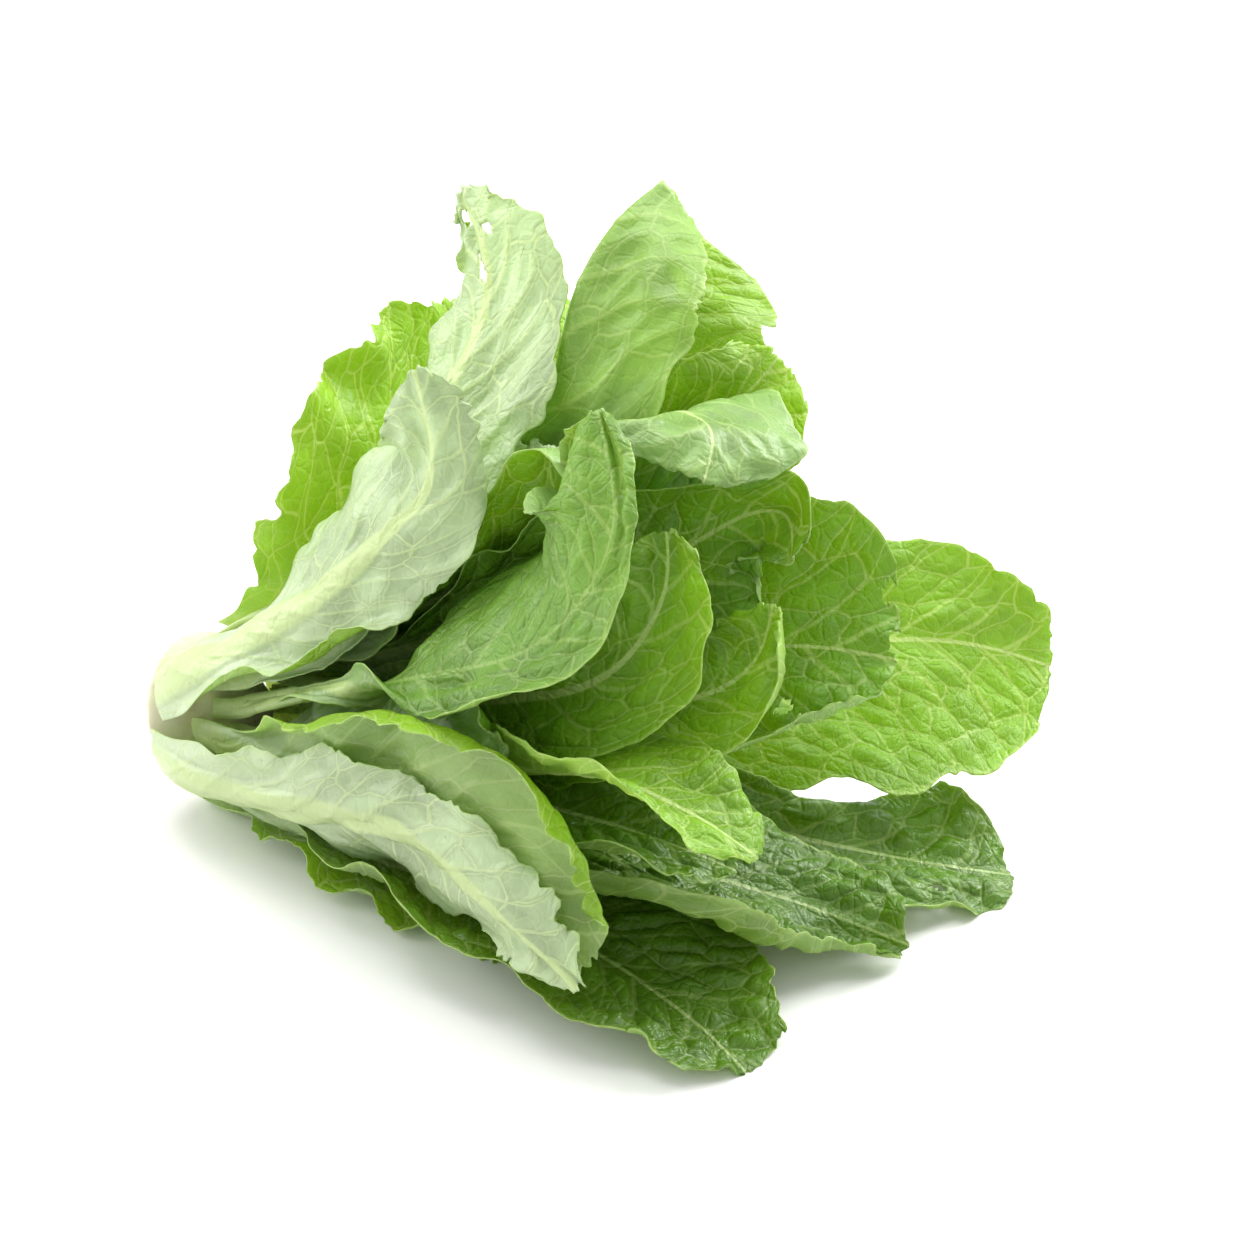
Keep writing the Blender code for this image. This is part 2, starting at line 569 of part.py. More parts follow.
def leaf_object(row, order, grid, thick, collection):
    """The sheet of a leaf as triangles, thickened outwards and laid flat where it meets the surface."""
    mesh = bpy.data.meshes.new(row["name"])
    mesh.from_pydata((grid.reshape(-1, 3) * MM).tolist(), [], FACES)
    made = link(row["name"], mesh, collection)
    group = made.vertex_groups.new(name="thickness")
    most = float(thick.max())
    for index, value in enumerate(thick.reshape(-1)):
        group.add([index], float(value) / most, "REPLACE")
    shell = made.modifiers.new("thicken", "SOLIDIFY")
    shell.thickness = most * MM
    shell.offset = -1.0
    shell.vertex_group = "thickness"
    shell.use_even_offset = False
    graph = bpy.context.evaluated_depsgraph_get()
    solid = bpy.data.meshes.new_from_object(made.evaluated_get(graph))
    made.modifiers.clear()
    made.data = solid
    for vertex in solid.vertices:
        if vertex.co.z < FLAT_BAND * MM:
            vertex.co.z = 0.0
    share = order / (len(LEAVES) - 1)
    colour = [0.12 + 0.10 * share, 0.34 + 0.10 * share, 0.05 + 0.02 * share]
    solid.materials.clear()
    solid.materials.append(material("green_" + row["name"], colour, 0.5))
    return made


def stem_core(collection):
    """The stem that the leaves grow from, turned about the head's axis, with its cut face outwards."""
    profile = [(0.0, -CORE_DOME), (CORE_RADIUS * 0.55, -CORE_DOME * 0.8), (CORE_RADIUS * 0.88, -0.6),
               (CORE_RADIUS, 1.0), (CORE_TIP_RADIUS, CORE_LENGTH - 1.5),
               (CORE_TIP_RADIUS * 0.6, CORE_LENGTH), (0.0, CORE_LENGTH + 0.8)]
    mesh = bpy.data.meshes.new("stem_core")
    points = [(r * MM, 0.0, x * MM) for r, x in profile]
    mesh.from_pydata(points, [(k, k + 1) for k in range(len(profile) - 1)], [])
    made = link("stem_core", mesh, collection)
    turned = made.modifiers.new("turn", "SCREW")
    turned.axis = "Z"
    turned.steps = CORE_SIDES
    turned.render_steps = CORE_SIDES
    turned.use_merge_vertices = True
    turned.merge_threshold = 0.00001
    turned.use_normal_flip = True
    made.rotation_euler = (0.0, math.pi / 2 - AXIS_RISE, 0.0)
    made.location = Vector(STEM * MM)
    mesh.materials.append(material("pale_stem_core", (0.62, 0.68, 0.42), 0.55))
    return made


def main():
    for other in list(bpy.data.objects):
        bpy.data.objects.remove(other, do_unlink=True)
    collection = bpy.data.collections.new("romaine_lettuce_head")
    bpy.context.scene.collection.children.link(collection)
    thick = [thickness(row, order) for order, row in enumerate(LEAVES)]
    grids = ease(thick)
    middle = centre_shift(grids)
    made = [leaf_object(row, order, grid - middle, t, collection)
            for order, (row, grid, t) in enumerate(zip(LEAVES, grids, thick))]
    core = stem_core(collection)
    core.location -= Vector(middle * MM)
    return made


if __name__ == "__main__":
    main()
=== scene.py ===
"""A head of romaine lettuce lying on its side with its leaves spread, dressed over its fixed frame.
Lengths are in millimetres unless a property says otherwise, and become metres as meshes are made."""

import math

import bpy
import numpy as np
from bpy.props import FloatProperty, FloatVectorProperty, PointerProperty
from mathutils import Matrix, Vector
from mathutils.bvhtree import BVHTree


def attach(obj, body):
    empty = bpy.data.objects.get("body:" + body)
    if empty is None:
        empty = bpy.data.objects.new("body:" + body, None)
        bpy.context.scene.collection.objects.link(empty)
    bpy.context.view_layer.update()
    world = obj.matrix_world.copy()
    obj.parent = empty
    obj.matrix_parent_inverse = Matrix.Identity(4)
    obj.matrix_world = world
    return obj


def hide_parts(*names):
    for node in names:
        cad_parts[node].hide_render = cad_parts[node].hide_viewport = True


bl_info = {
    "name": "Romaine Lettuce Head",
    "version": (1, 0, 0),
    "blender": (4, 5, 0),
    "location": "View3D > Sidebar > Lettuce",
    "description": "Builds a head of romaine lettuce lying on its side, leaf by leaf",
    "category": "Add Mesh",
}

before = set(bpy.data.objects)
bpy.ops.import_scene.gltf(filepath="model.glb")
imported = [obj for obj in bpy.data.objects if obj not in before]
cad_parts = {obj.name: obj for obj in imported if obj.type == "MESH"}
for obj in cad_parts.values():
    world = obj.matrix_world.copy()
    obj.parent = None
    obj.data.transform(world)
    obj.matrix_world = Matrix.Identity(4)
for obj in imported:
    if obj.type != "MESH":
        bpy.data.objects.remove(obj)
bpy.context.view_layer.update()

MM = 0.001

# The stem and the way the head lies.
STEM_HEIGHT = 27.2  # middle of the cut above the surface
AXIS_RISE = math.radians(15.0)  # the head's own axis above level
CORE_RADIUS = 23.0  # of the cut end
CORE_TIP_RADIUS = 6.5
CORE_LENGTH = 27.0
CORE_DOME = 2.5  # how far the cut face bulges

# Stations of the leaf table are measured from the middle of the cut, along these three directions.
SIDE_TURN = math.radians(35.0)
LOOK_DOWN = math.radians(28.0)
FRONT = np.array([math.sin(SIDE_TURN), -math.cos(SIDE_TURN), 0.0])
ACROSS = np.array([math.cos(SIDE_TURN), math.sin(SIDE_TURN), 0.0])
TOWARD = math.cos(LOOK_DOWN) * FRONT + math.sin(LOOK_DOWN) * np.array([0.0, 0.0, 1.0])
UPWARD = np.cross(TOWARD, ACROSS)
STEM = np.array([0.0, 0.0, STEM_HEIGHT])

AXIS = np.array([math.cos(AXIS_RISE), 0.0, math.sin(AXIS_RISE)])
CLOCK_TOP = np.array([-math.sin(AXIS_RISE), 0.0, math.cos(AXIS_RISE)])
CLOCK_FAR = np.cross(CLOCK_TOP, AXIS)

# The grid of each leaf.
ROWS = 14
COLUMNS = np.array([-1.0, -0.74, -0.44, -0.17, 0.0, 0.17, 0.44, 0.74, 1.0])
FINE_STEPS = 6  # cross-section steps between two columns

HIP_AT = 58.0  # along the axis from the cut
PAST_TIP = 1.03  # share of the length at which a blade would have no width
LINE_STEPS = 20  # steps of a midrib between two stations
LINE_CALMING = 30  # passes that even it out

# Thickness.
BLADE = 0.9
RIB_BASE = 3.6  # a midrib at its base, blade included
SLIMMER = 0.62  # how much thinner and narrower the base of the innermost leaf is
RIB_REACH = 9.0  # half-width of a midrib at its base
RIB_NARROWING = 0.45  # share of that half-width lost by the tip
RIB_FADE = 1.2  # how fast the rib's height falls off along the leaf

# How the leaves leave the stem.
FOOT_CLEAR = 1.0  # between the core and the outermost leaf
FIRST_FOOT = 2.0  # along the stem from the cut to the outermost leaf
BASE_RISE = 0.92  # how much further along the stem each next leaf starts
BASE_SPREAD = 0.60  # how much further in each next leaf starts
RING = 5  # the outermost leaves, whose wide bases wrap the stem
RING_OUT = 2.2  # and stand this much further out
FIRST_LEAN = 0.5  # outward slope of the outermost leaf where it leaves the stem
LEAN_STEP = 0.018  # and how much less it is with each next leaf

# The small waves and dents of the blades.
FIRST_SEED = 100
DENT = 0.8  # typical depth
WIDTH_WAVE = 0.05  # share of the width by which the margin goes in and out
SECOND_WAVE = 1.7  # how much more often it does than the margin rises and falls


def leaf(name, turn, hip, stations, face, width, cup=(25, 25), hem=(0, 0), ruffle=2.5, waves=4.0,
         base=5.5, widest=0.62, pointed=0.5, keel=(0, 0), late=0.0, hem_to=1.0,
         fan=(-0.1, -0.1)):
    """One row of the leaf table, with its values named."""
    return dict(locals())


# turn: where the leaf leaves the stem, in degrees about the head's axis, 0 at the top.
# hip: how far from the axis its midrib is at HIP_AT, and at what turn.
# stations: the rest of its midrib, as (across, upward, toward).
# face: where the inner side faces, half-way and at the tip.
# width: half-widths left and right of the midrib, seen from the inner side with the tip up.
# keel: how far each half is folded up along the midrib, towards the inner side, in degrees.
# cup: how far each half turns towards the inner side, in degrees, and hem: its margin alone, as far
# along the leaf as hem_to. ruffle: how high the margin waves, and waves: how often.
# base: half-width of the leaf's foot. widest, late, pointed: where along the leaf it is widest, where
# it begins to widen, and how its tip narrows, on both sides or on each.
# fan: how far each half's margin at the tip runs ahead of the midrib, as a share of its width.
# The rows run from the outermost leaf to the innermost.
LEAVES = [
    leaf("leaf_floor_near", -175, (41, -165), ((65, -53, 42), (112, -68, 70)),
         ((-0.1, 0.95, 0.3), (-0.1, 0.9, 0.4)), (30, 20), ruffle=3.5, waves=5.0, base=12.5),
    leaf("leaf_back_left", 52, (60, 42), ((72, 86, 5), (92, 119, -15)),
         ((0.3, -0.3, 0.9), (0.3, -0.2, 0.9)), (44, 40), ruffle=4.0, waves=6.0, widest=0.5, pointed=0.7,
         base=9.0),
    leaf("leaf_near_low", -110, (35, -112), ((68, -31, 88), (94, -50, 115), (118, -71, 128)),
         ((0.3, 0.35, -0.85), (0.3, 0.4, -0.85)), (20, 21), cup=(35, 35), pointed=0.7, base=13.0),
    leaf("leaf_right_far", 97, (36, 92), ((135, 9, 20), (211, 21, 25), (259, 12, 10)),
         ((-0.2, 0.4, 0.9), (0.0, 0.3, 0.95)), (35, 56), base=9.0),
    leaf("leaf_near_high", -48, (35, -18), ((60, 46, 80), (78, 64, 98), (73, 94, 103)),
         ((0.5, -0.3, -0.8), (0.6, -0.2, -0.75)), (22, 30), cup=(50, 20), hem=(-150, 0), hem_to=0.5,
         pointed=0.7, base=13.5),
    leaf("leaf_floor_far", 146, (39, 148), ((125, -40, 30), (165, -56, 30), (196, -62, 24)),
         ((-0.1, 0.85, 0.5), (-0.1, 0.85, 0.5)), (38, 38)),
    leaf("leaf_back_high", 26, (47, 44), ((86, 80, 22), (104, 112, 12), (108, 128, -2)),
         ((0.3, -0.3, 0.9), (0.3, -0.2, 0.9)), (26, 34), pointed=0.8),
    leaf("leaf_front_low", -150, (36, -155), ((112, -61, 80), (145, -80, 103), (162, -95, 121)),
         ((0.0, 0.9, 0.4), (0.0, 0.85, 0.5)), (38, 38), cup=(25, 40)),
    leaf("leaf_back_middle", 60, (40, 75), ((125, 36, 12), (165, 50, 2), (186, 55, -12)),
         ((-0.3, 0.0, 0.95), (-0.3, -0.1, 0.95)), (34, 34), base=4.8),
    leaf("leaf_right_low", 122, (34, 122), ((135, -27, 40), (199, -41, 45), (244, -49, 38)),
         ((-0.1, 0.8, 0.6), (0.0, 0.8, 0.6)), (40, 38)),
    leaf("leaf_top_left", -10, (37, 16), ((76, 84, 62), (92, 118, 66), (83, 150, 55)),
         ((0.6, -0.3, -0.7), (0.6, -0.1, -0.8)), (36, 26), widest=0.55, pointed=0.9, cup=(15, 30)),
    leaf("leaf_dark_low", 165, (29, 168), ((129, -39, 75), (174, -55, 69), (209, -67, 74)),
         ((0.0, 0.85, 0.5), (0.0, 0.85, 0.5)), (38, 40), hem=(0, 90)),
    leaf("leaf_top_middle", 36, (31, 38), ((104, 78, 72), (116, 118, 76), (130, 140, 72),
                                           (141, 150, 66)),
         ((0.3, -0.3, 0.9), (0.2, -0.3, 0.93)), (44, 60), cup=(20, 12), keel=(126, 0),
         widest=0.7, pointed=(0.6, 0.3), fan=(-0.1, 0.3)),
    leaf("leaf_near_inner", -90, (27, -101), ((76, -24, 96), (102, -45, 116), (119, -66, 120)),
         ((0.4, 0.35, -0.8), (0.4, 0.4, -0.8)), (25, 36), hem=(0, -120), ruffle=3.0),
    leaf("leaf_right_near", 106, (27, 97), ((123, 14, 50), (173, 19, 80), (205, 15, 88)),
         ((-0.2, 0.2, 0.95), (-0.1, 0.2, 0.95)), (60, 42), hem=(0, 70)),
    leaf("leaf_top_right", 66, (27, 63), ((129, 66, 68), (162, 86, 78), (174, 99, 74)),
         ((-0.2, -0.5, 0.8), (-0.2, -0.4, 0.9)), (34, 34)),
    leaf("leaf_folded_top", 5, (21, 12), ((118, 62, 78), (138, 84, 92), (152, 77, 118),
                                          (150, 62, 128)),
         ((0.2, -0.6, 0.7), (-0.3, 0.0, -0.9)), (44, 40), widest=0.72),
    leaf("leaf_torn", -32, (27, -22), ((84, 52, 66), (104, 66, 84), (118, 75, 92)),
         ((0.5, -0.5, -0.7), (0.5, -0.5, -0.7)), (20, 18), ruffle=2.0),
    leaf("leaf_right_cup", 48, (20, 50), ((140, 43, 88), (170, 58, 98), (175, 42, 108)),
         ((-0.3, -0.4, 0.8), (-0.5, -0.2, 0.8)), (30, 30), cup=(45, 45)),
    leaf("leaf_folded_near", -66, (22, -56), ((76, 9, 92), (108, 19, 130), (126, 44, 150),
                                              (126, 65, 150), (123, 80, 144)),
         ((-0.35, 0.5, 0.8), (-0.5, 0.3, 0.8)), (56, 17), cup=(-30, 20), widest=0.55,
         pointed=0.9, late=0.24),
    leaf("leaf_heart_rim", 92, (13, 95), ((129, 2, 90), (161, 10, 103), (170, 30, 106)),
         ((-0.6, 0.3, 0.7), (-0.7, 0.2, 0.7)), (26, 26), cup=(40, 40)),
    leaf("leaf_heart_low", 178, (15, 178), ((123, -29, 92), (160, -42, 103)),
         ((0.0, 0.8, 0.5), (0.0, 0.8, 0.5)), (28, 28), cup=(40, 40)),
    leaf("leaf_heart_cup", 15, (9, 25), ((113, 5, 100), (138, 26, 118), (141, 50, 120)),
         ((-0.5, -0.2, 0.8), (-0.4, -0.2, 0.9)), (26, 30), cup=(50, 60)),
    leaf("leaf_heart_small", -104, (16, -106), ((82, -4, 86), (94, -11, 103), (100, -18, 111)),
         ((0.5, 0.3, -0.8), (0.5, 0.3, -0.8)), (20, 20), cup=(30, 30)),
    leaf("leaf_heart_front", -135, (8, -125), ((113, -11, 114), (144, -22, 140), (164, -35, 146)),
         ((0.2, 0.7, 0.4), (0.2, 0.7, 0.5)), (28, 22), cup=(20, 50)),
]


def unit(vector):
    return vector / np.linalg.norm(vector, axis=-1, keepdims=True)


def smoothstep(x):
    x = np.clip(x, 0.0, 1.0)
    return x * x * (3.0 - 2.0 * x)


def from_table(values):
    values = np.asarray(values, float)
    return values[..., :1] * ACROSS + values[..., 1:2] * UPWARD + values[..., 2:3] * TOWARD


def radial(turn):
    angle = math.radians(turn)
    return math.cos(angle) * CLOCK_TOP + math.sin(angle) * CLOCK_FAR


def hermite(points, first):
    """A smooth line through the points, which sets off along `first`, as many short steps."""
    tangents = np.empty_like(points)
    tangents[1:-1] = (points[2:] - points[:-2]) / 2
    tangents[0] = first * np.linalg.norm(points[1] - points[0])
    tangents[-1] = 1.5 * (points[-1] - points[-2]) - tangents[-2] / 2
    t = np.linspace(0, 1, LINE_STEPS, endpoint=False)[:, None]
    line = []
    for p, q, m, n in zip(points[:-1], points[1:], tangents[:-1], tangents[1:]):
        line.append((2 * t**3 - 3 * t**2 + 1) * p + (t**3 - 2 * t**2 + t) * m
                    + (3 * t**2 - 2 * t**3) * q + (t**3 - t**2) * n)
    return np.concatenate(line + [points[-1:]])


def base_radius(order):
    """How far from the head's axis a leaf leaves the stem."""
    return CORE_RADIUS + FOOT_CLEAR - BASE_SPREAD * order + (RING_OUT if order < RING else 0.0)


def midrib(row, order):
    """The midrib's points at equal steps, and its directions."""
    out = radial(row["turn"])
    radius = base_radius(order)
    start = STEM + AXIS * (FIRST_FOOT + BASE_RISE * order) + out * radius
    hip = STEM + AXIS * HIP_AT + radial(row["hip"][1]) * row["hip"][0]
    points = np.concatenate([[start, hip], STEM + from_table(row["stations"])])
    line = hermite(points, unit(AXIS + (FIRST_LEAN - LEAN_STEP * order) * out))
    steps = np.linalg.norm(np.diff(line, axis=0), axis=1)
    along = np.concatenate([[0.0], np.cumsum(steps)])
    for _ in range(LINE_CALMING):
        line[1:-1] = (line[:-2] + 2 * line[1:-1] + line[2:]) / 4
    at = np.linspace(0, along[-1], ROWS + 1)
    points = np.stack([np.interp(at, along, line[:, k]) for k in range(3)], axis=1)
    return points, unit(np.gradient(points, axis=0))


def half_width(row, order, s, side):
    """Half-width of the blade at the share s of its length."""
    full, widest, late = row["width"][side], row["widest"], row["late"]
    rise = smoothstep((s - late) / (widest - late)) ** 0.9
    base = row["base"] * (1 - SLIMMER * order / len(LEAVES))
    fall = np.clip(1 - ((s - widest) / (PAST_TIP - widest)) ** 2, 0, 1)
    fall = fall ** np.broadcast_to(row["pointed"], 2)[side]
    return np.where(s < widest, base + (full - base) * rise, full * fall)


def sheet(row, order, grow, room):
    """The inner face of a leaf as a grid of points. grow is the share of its full width, and room what
    each row of it may keep of that on either side."""
    points, along = midrib(row, order)
    s = np.linspace(0, 1, ROWS + 1)
    inward = -radial(row["turn"]) * (1 - smoothstep(s / 0.2))[:, None]
    inward = inward - radial(row["hip"][1]) * smoothstep(s / 0.2)[:, None]
    mid_face = from_table(row["face"][0])
    tip_face = from_table(row["face"][1])
    blend_mid = smoothstep((s - 0.15) / 0.4)[:, None]
    blend_tip = smoothstep((s - 0.5) / 0.5)[:, None]
    facing = inward * (1 - blend_mid) + unit(mid_face) * blend_mid
    facing = facing * (1 - blend_tip) + unit(tip_face) * blend_tip
    facing = facing - (facing * along).sum(1, keepdims=True) * along
    normal = unit(facing)
    right = np.cross(along, normal)
    rng = np.random.default_rng(FIRST_SEED + order)
    grid = np.empty((ROWS + 1, len(COLUMNS), 3))
    middle = len(COLUMNS) // 2
    grid[:, middle] = points
    blend = smoothstep(s / 0.3)
    wrap = math.degrees(row["base"] / base_radius(order))
    for side, way in ((0, -1), (1, 1)):
        width = half_width(row, order, s, side) * grow * room[:, side]
        phase = rng.uniform(0, 2 * math.pi)
        wave = np.sin(2 * math.pi * row["waves"] * s + phase)
        wave2 = np.sin(2 * math.pi * (row["waves"] * SECOND_WAVE) * s + rng.uniform(0, 6))
        width = width * (1 + WIDTH_WAVE * wave2 * blend)
        cup = wrap * (1 - blend) + row["cup"][side] * blend
        keel = row["keel"][side] * smoothstep((s - 0.1) / 0.4)
        hem = row["hem"][side] * smoothstep((s - 0.05) / 0.2) * (1 - smoothstep((s - row["hem_to"]) / 0.15))
        levels = np.abs(COLUMNS[middle:]) if way > 0 else np.abs(COLUMNS[:middle + 1])[::-1]
        across = np.zeros(ROWS + 1)
        height = np.zeros(ROWS + 1)
        for column in range(1, len(levels)):
            before, after = levels[column - 1], levels[column]
            for k in range(FINE_STEPS):
                v = before + (after - before) * (k + 0.5) / FINE_STEPS
                angle = np.radians(keel + cup * v + hem * smoothstep((v - 0.6) / 0.4))
                step = width * (after - before) / FINE_STEPS
                across = across + np.cos(angle) * step
                height = height + np.sin(angle) * step
            lift = grow * row["ruffle"] * after**2.5 * wave * blend
            fan = row["fan"][side] * width * after**2 * smoothstep((s - 0.7) / 0.3)
            local_a = across - np.sin(angle) * lift
            local_h = height + np.cos(angle) * lift
            grid[:, middle + way * column] = (points + way * right * local_a[:, None]
                                              + normal * local_h[:, None] + along * fan[:, None])
    bumps = rng.normal(0, DENT, (ROWS + 1, len(COLUMNS)))
    bumps *= blend[:, None] * (np.abs(COLUMNS) > 0.1)
    grid += normal[:, None] * bumps[..., None] * grow
    return grid


def thickness(row, order):
    """How thick the leaf is at each point of its grid: a rib along the middle, and the blade."""
    s = np.linspace(0, 1, ROWS + 1)[:, None]
    mean = (half_width(row, order, s[:, 0], 0) + half_width(row, order, s[:, 0], 1)) / 2
    away = np.abs(COLUMNS)[None, :] * mean[:, None]
    reach = RIB_REACH * (1 - RIB_NARROWING * s)
    root = smoothstep((s + 0.02) / 0.08)
    rib = root * (RIB_BASE * (1 - SLIMMER * order / len(LEAVES)) - BLADE) * (1 - s) ** RIB_FADE
    return BLADE + rib * np.clip(1 - away / reach, 0, 1)


def triangles():
    """The triangles of a grid, split one way and the other in turn."""
    faces = []
    wide = len(COLUMNS)
    for r in range(ROWS):
        for c in range(wide - 1):
            a, b = r * wide + c, r * wide + c + 1
            d, e = a + wide, b + wide
            if (r + c) % 2:
                faces += [(a, b, e), (a, e, d)]
            else:
                faces += [(a, b, d), (b, e, d)]
    return faces


FACES = triangles()

# Easing apart, in millimetres. The leaves start as narrow strips and widen in small steps, and at
# each step a leaf that comes too near its neighbour moves away on the side where it already is.
GROW_STEPS = 30
SETTLE_STEPS = 40
FIRST_WIDTH = 0.12
GAP_BASE = 0.5  # between two leaves at the stem
GAP_TIP = 2.2  # and from a third of their length outwards
REACH = 9.0  # how far a leaf feels its neighbour
PAST_EDGE = 3.0  # how far beyond a neighbour's margin it still counts
FLOOR_GAP = 0.3
NARROWER = 0.9  # what a blade keeps of its width where it would cross its neighbour
ROUND_EDGE = 3.0  # this far behind a neighbour, a point has gone round its margin
SHELL_STEP = 44  # from this step on, the thickened leaves are kept apart too
SLACK = 0.996  # how much of a move is kept from one step to the next
NEAR_RIB = 0.15  # columns this near the middle are never narrowed
SURE = 2.5  # a point this far off is on the side where it is now
OWN_PUSH = 0.7  # share of a push that stays where it is
SPREAD_PUSH = 0.6  # and the share that its neighbours take up
FEW = 0.35  # least weight that a point's pushes are divided by
CALM = 0.25  # how far a moved point goes towards its neighbours
HELD_FOOT = 0.6  # how freely the leaf's foot moves
CORE_CLEAR = 0.6  # between the core and a leaf


def corner_normals(points):
    """A unit normal at each point of a grid, on the side that its leaf faces."""
    down = np.gradient(points, axis=0)
    side = np.gradient(points, axis=1)
    return unit(np.cross(side, down))


def smoothed(field, times):
    """A field over a grid, spread towards its neighbours."""
    for _ in range(times):
        wide = np.pad(field, ((1, 1), (1, 1), (0, 0)), mode="edge")
        around = (wide[:-2, 1:-1] + wide[2:, 1:-1] + wide[1:-1, :-2] + wide[1:-1, 2:]) / 4
        field = (field + around) / 2
    return field


def sample_matrix():
    """Which grid points each sample is mixed from: the points, the middles of the squares, and three
    more along each piece of the margin."""
    rows, wide = ROWS + 1, len(COLUMNS)
    at = np.arange(rows * wide).reshape(rows, wide)
    picks = [((p, 1.0),) for p in at.reshape(-1)]
    for r in range(rows - 1):
        for c in range(wide - 1):
            picks.append(tuple((p, 0.25) for p in (at[r, c], at[r + 1, c], at[r, c + 1],
                                                   at[r + 1, c + 1])))
    edges = [(at[r, c], at[r + 1, c]) for r in range(rows - 1) for c in (0, wide - 1)]
    edges += [(at[rows - 1, c], at[rows - 1, c + 1]) for c in range(wide - 1)]
    for a, b in edges:
        for share in (0.25, 0.5, 0.75):
            picks.append(((a, share), (b, 1 - share)))
    matrix = np.zeros((len(picks), rows * wide))
    for k, mix in enumerate(picks):
        for p, share in mix:
            matrix[k, p] = share
    return matrix


def core_radius_at(x):
    return CORE_RADIUS + (CORE_TIP_RADIUS - CORE_RADIUS) * np.clip(x / CORE_LENGTH, 0, 1)


def off_core(grid):
    """Brings out the points that are inside the stem's core."""
    away = grid - STEM
    x = away @ AXIS
    out = away - x[..., None] * AXIS
    distance = np.linalg.norm(out, axis=-1)
    least = core_radius_at(x) + CORE_CLEAR
    short = np.where(x < CORE_LENGTH + 1.5, np.clip(least - distance, 0, None), 0)
    return grid + unit(out + 1e-9) * short[..., None]


def outer_face(grid, thick):
    """The outer face of a leaf, its thickness behind the inner one."""
    return grid - corner_normals(grid) * thick[..., None]


def shell_faces():
    """The triangles of a thickened leaf, and the sheet's triangle that each lies at."""
    faces, owner = list(FACES), list(range(len(FACES)))
    points = (ROWS + 1) * len(COLUMNS)
    for index, (a, b, c) in enumerate(FACES):
        faces.append((a + points, c + points, b + points))
        owner.append(index)
        for p, q in ((a, b), (b, c), (c, a)):
            margin = all(k % len(COLUMNS) in (0, len(COLUMNS) - 1) for k in (p, q))
            end = all(k // len(COLUMNS) in (0, ROWS) for k in (p, q))
            if margin and abs(p - q) == len(COLUMNS) or end and abs(p - q) == 1:
                faces += [(p, q, q + points), (p, q + points, p + points)]
                owner += [index, index]
    return faces, np.array(owner)


SHELL_FACES, SHELL_OWNER = shell_faces()


def narrow_crossing(less, pair, ends, levels, rows, near):
    """Marks where the one of two crossing leaves that crosses nearer its margin narrows. ends holds the
    faces that cross, levels how far each face is across its leaf, and rows along it. Faces as close to
    the midrib as near, or closer, aren't narrowed."""
    off = [np.abs(levels[ends[:, k]]).mean() for k in (0, 1)]
    narrow = 0 if off[0] > off[1] else 1
    for face in ends[:, narrow]:
        if abs(levels[face]) > near:
            less[pair[narrow], rows[face]:rows[face] + 2, int(levels[face] > 0)] = NARROWER


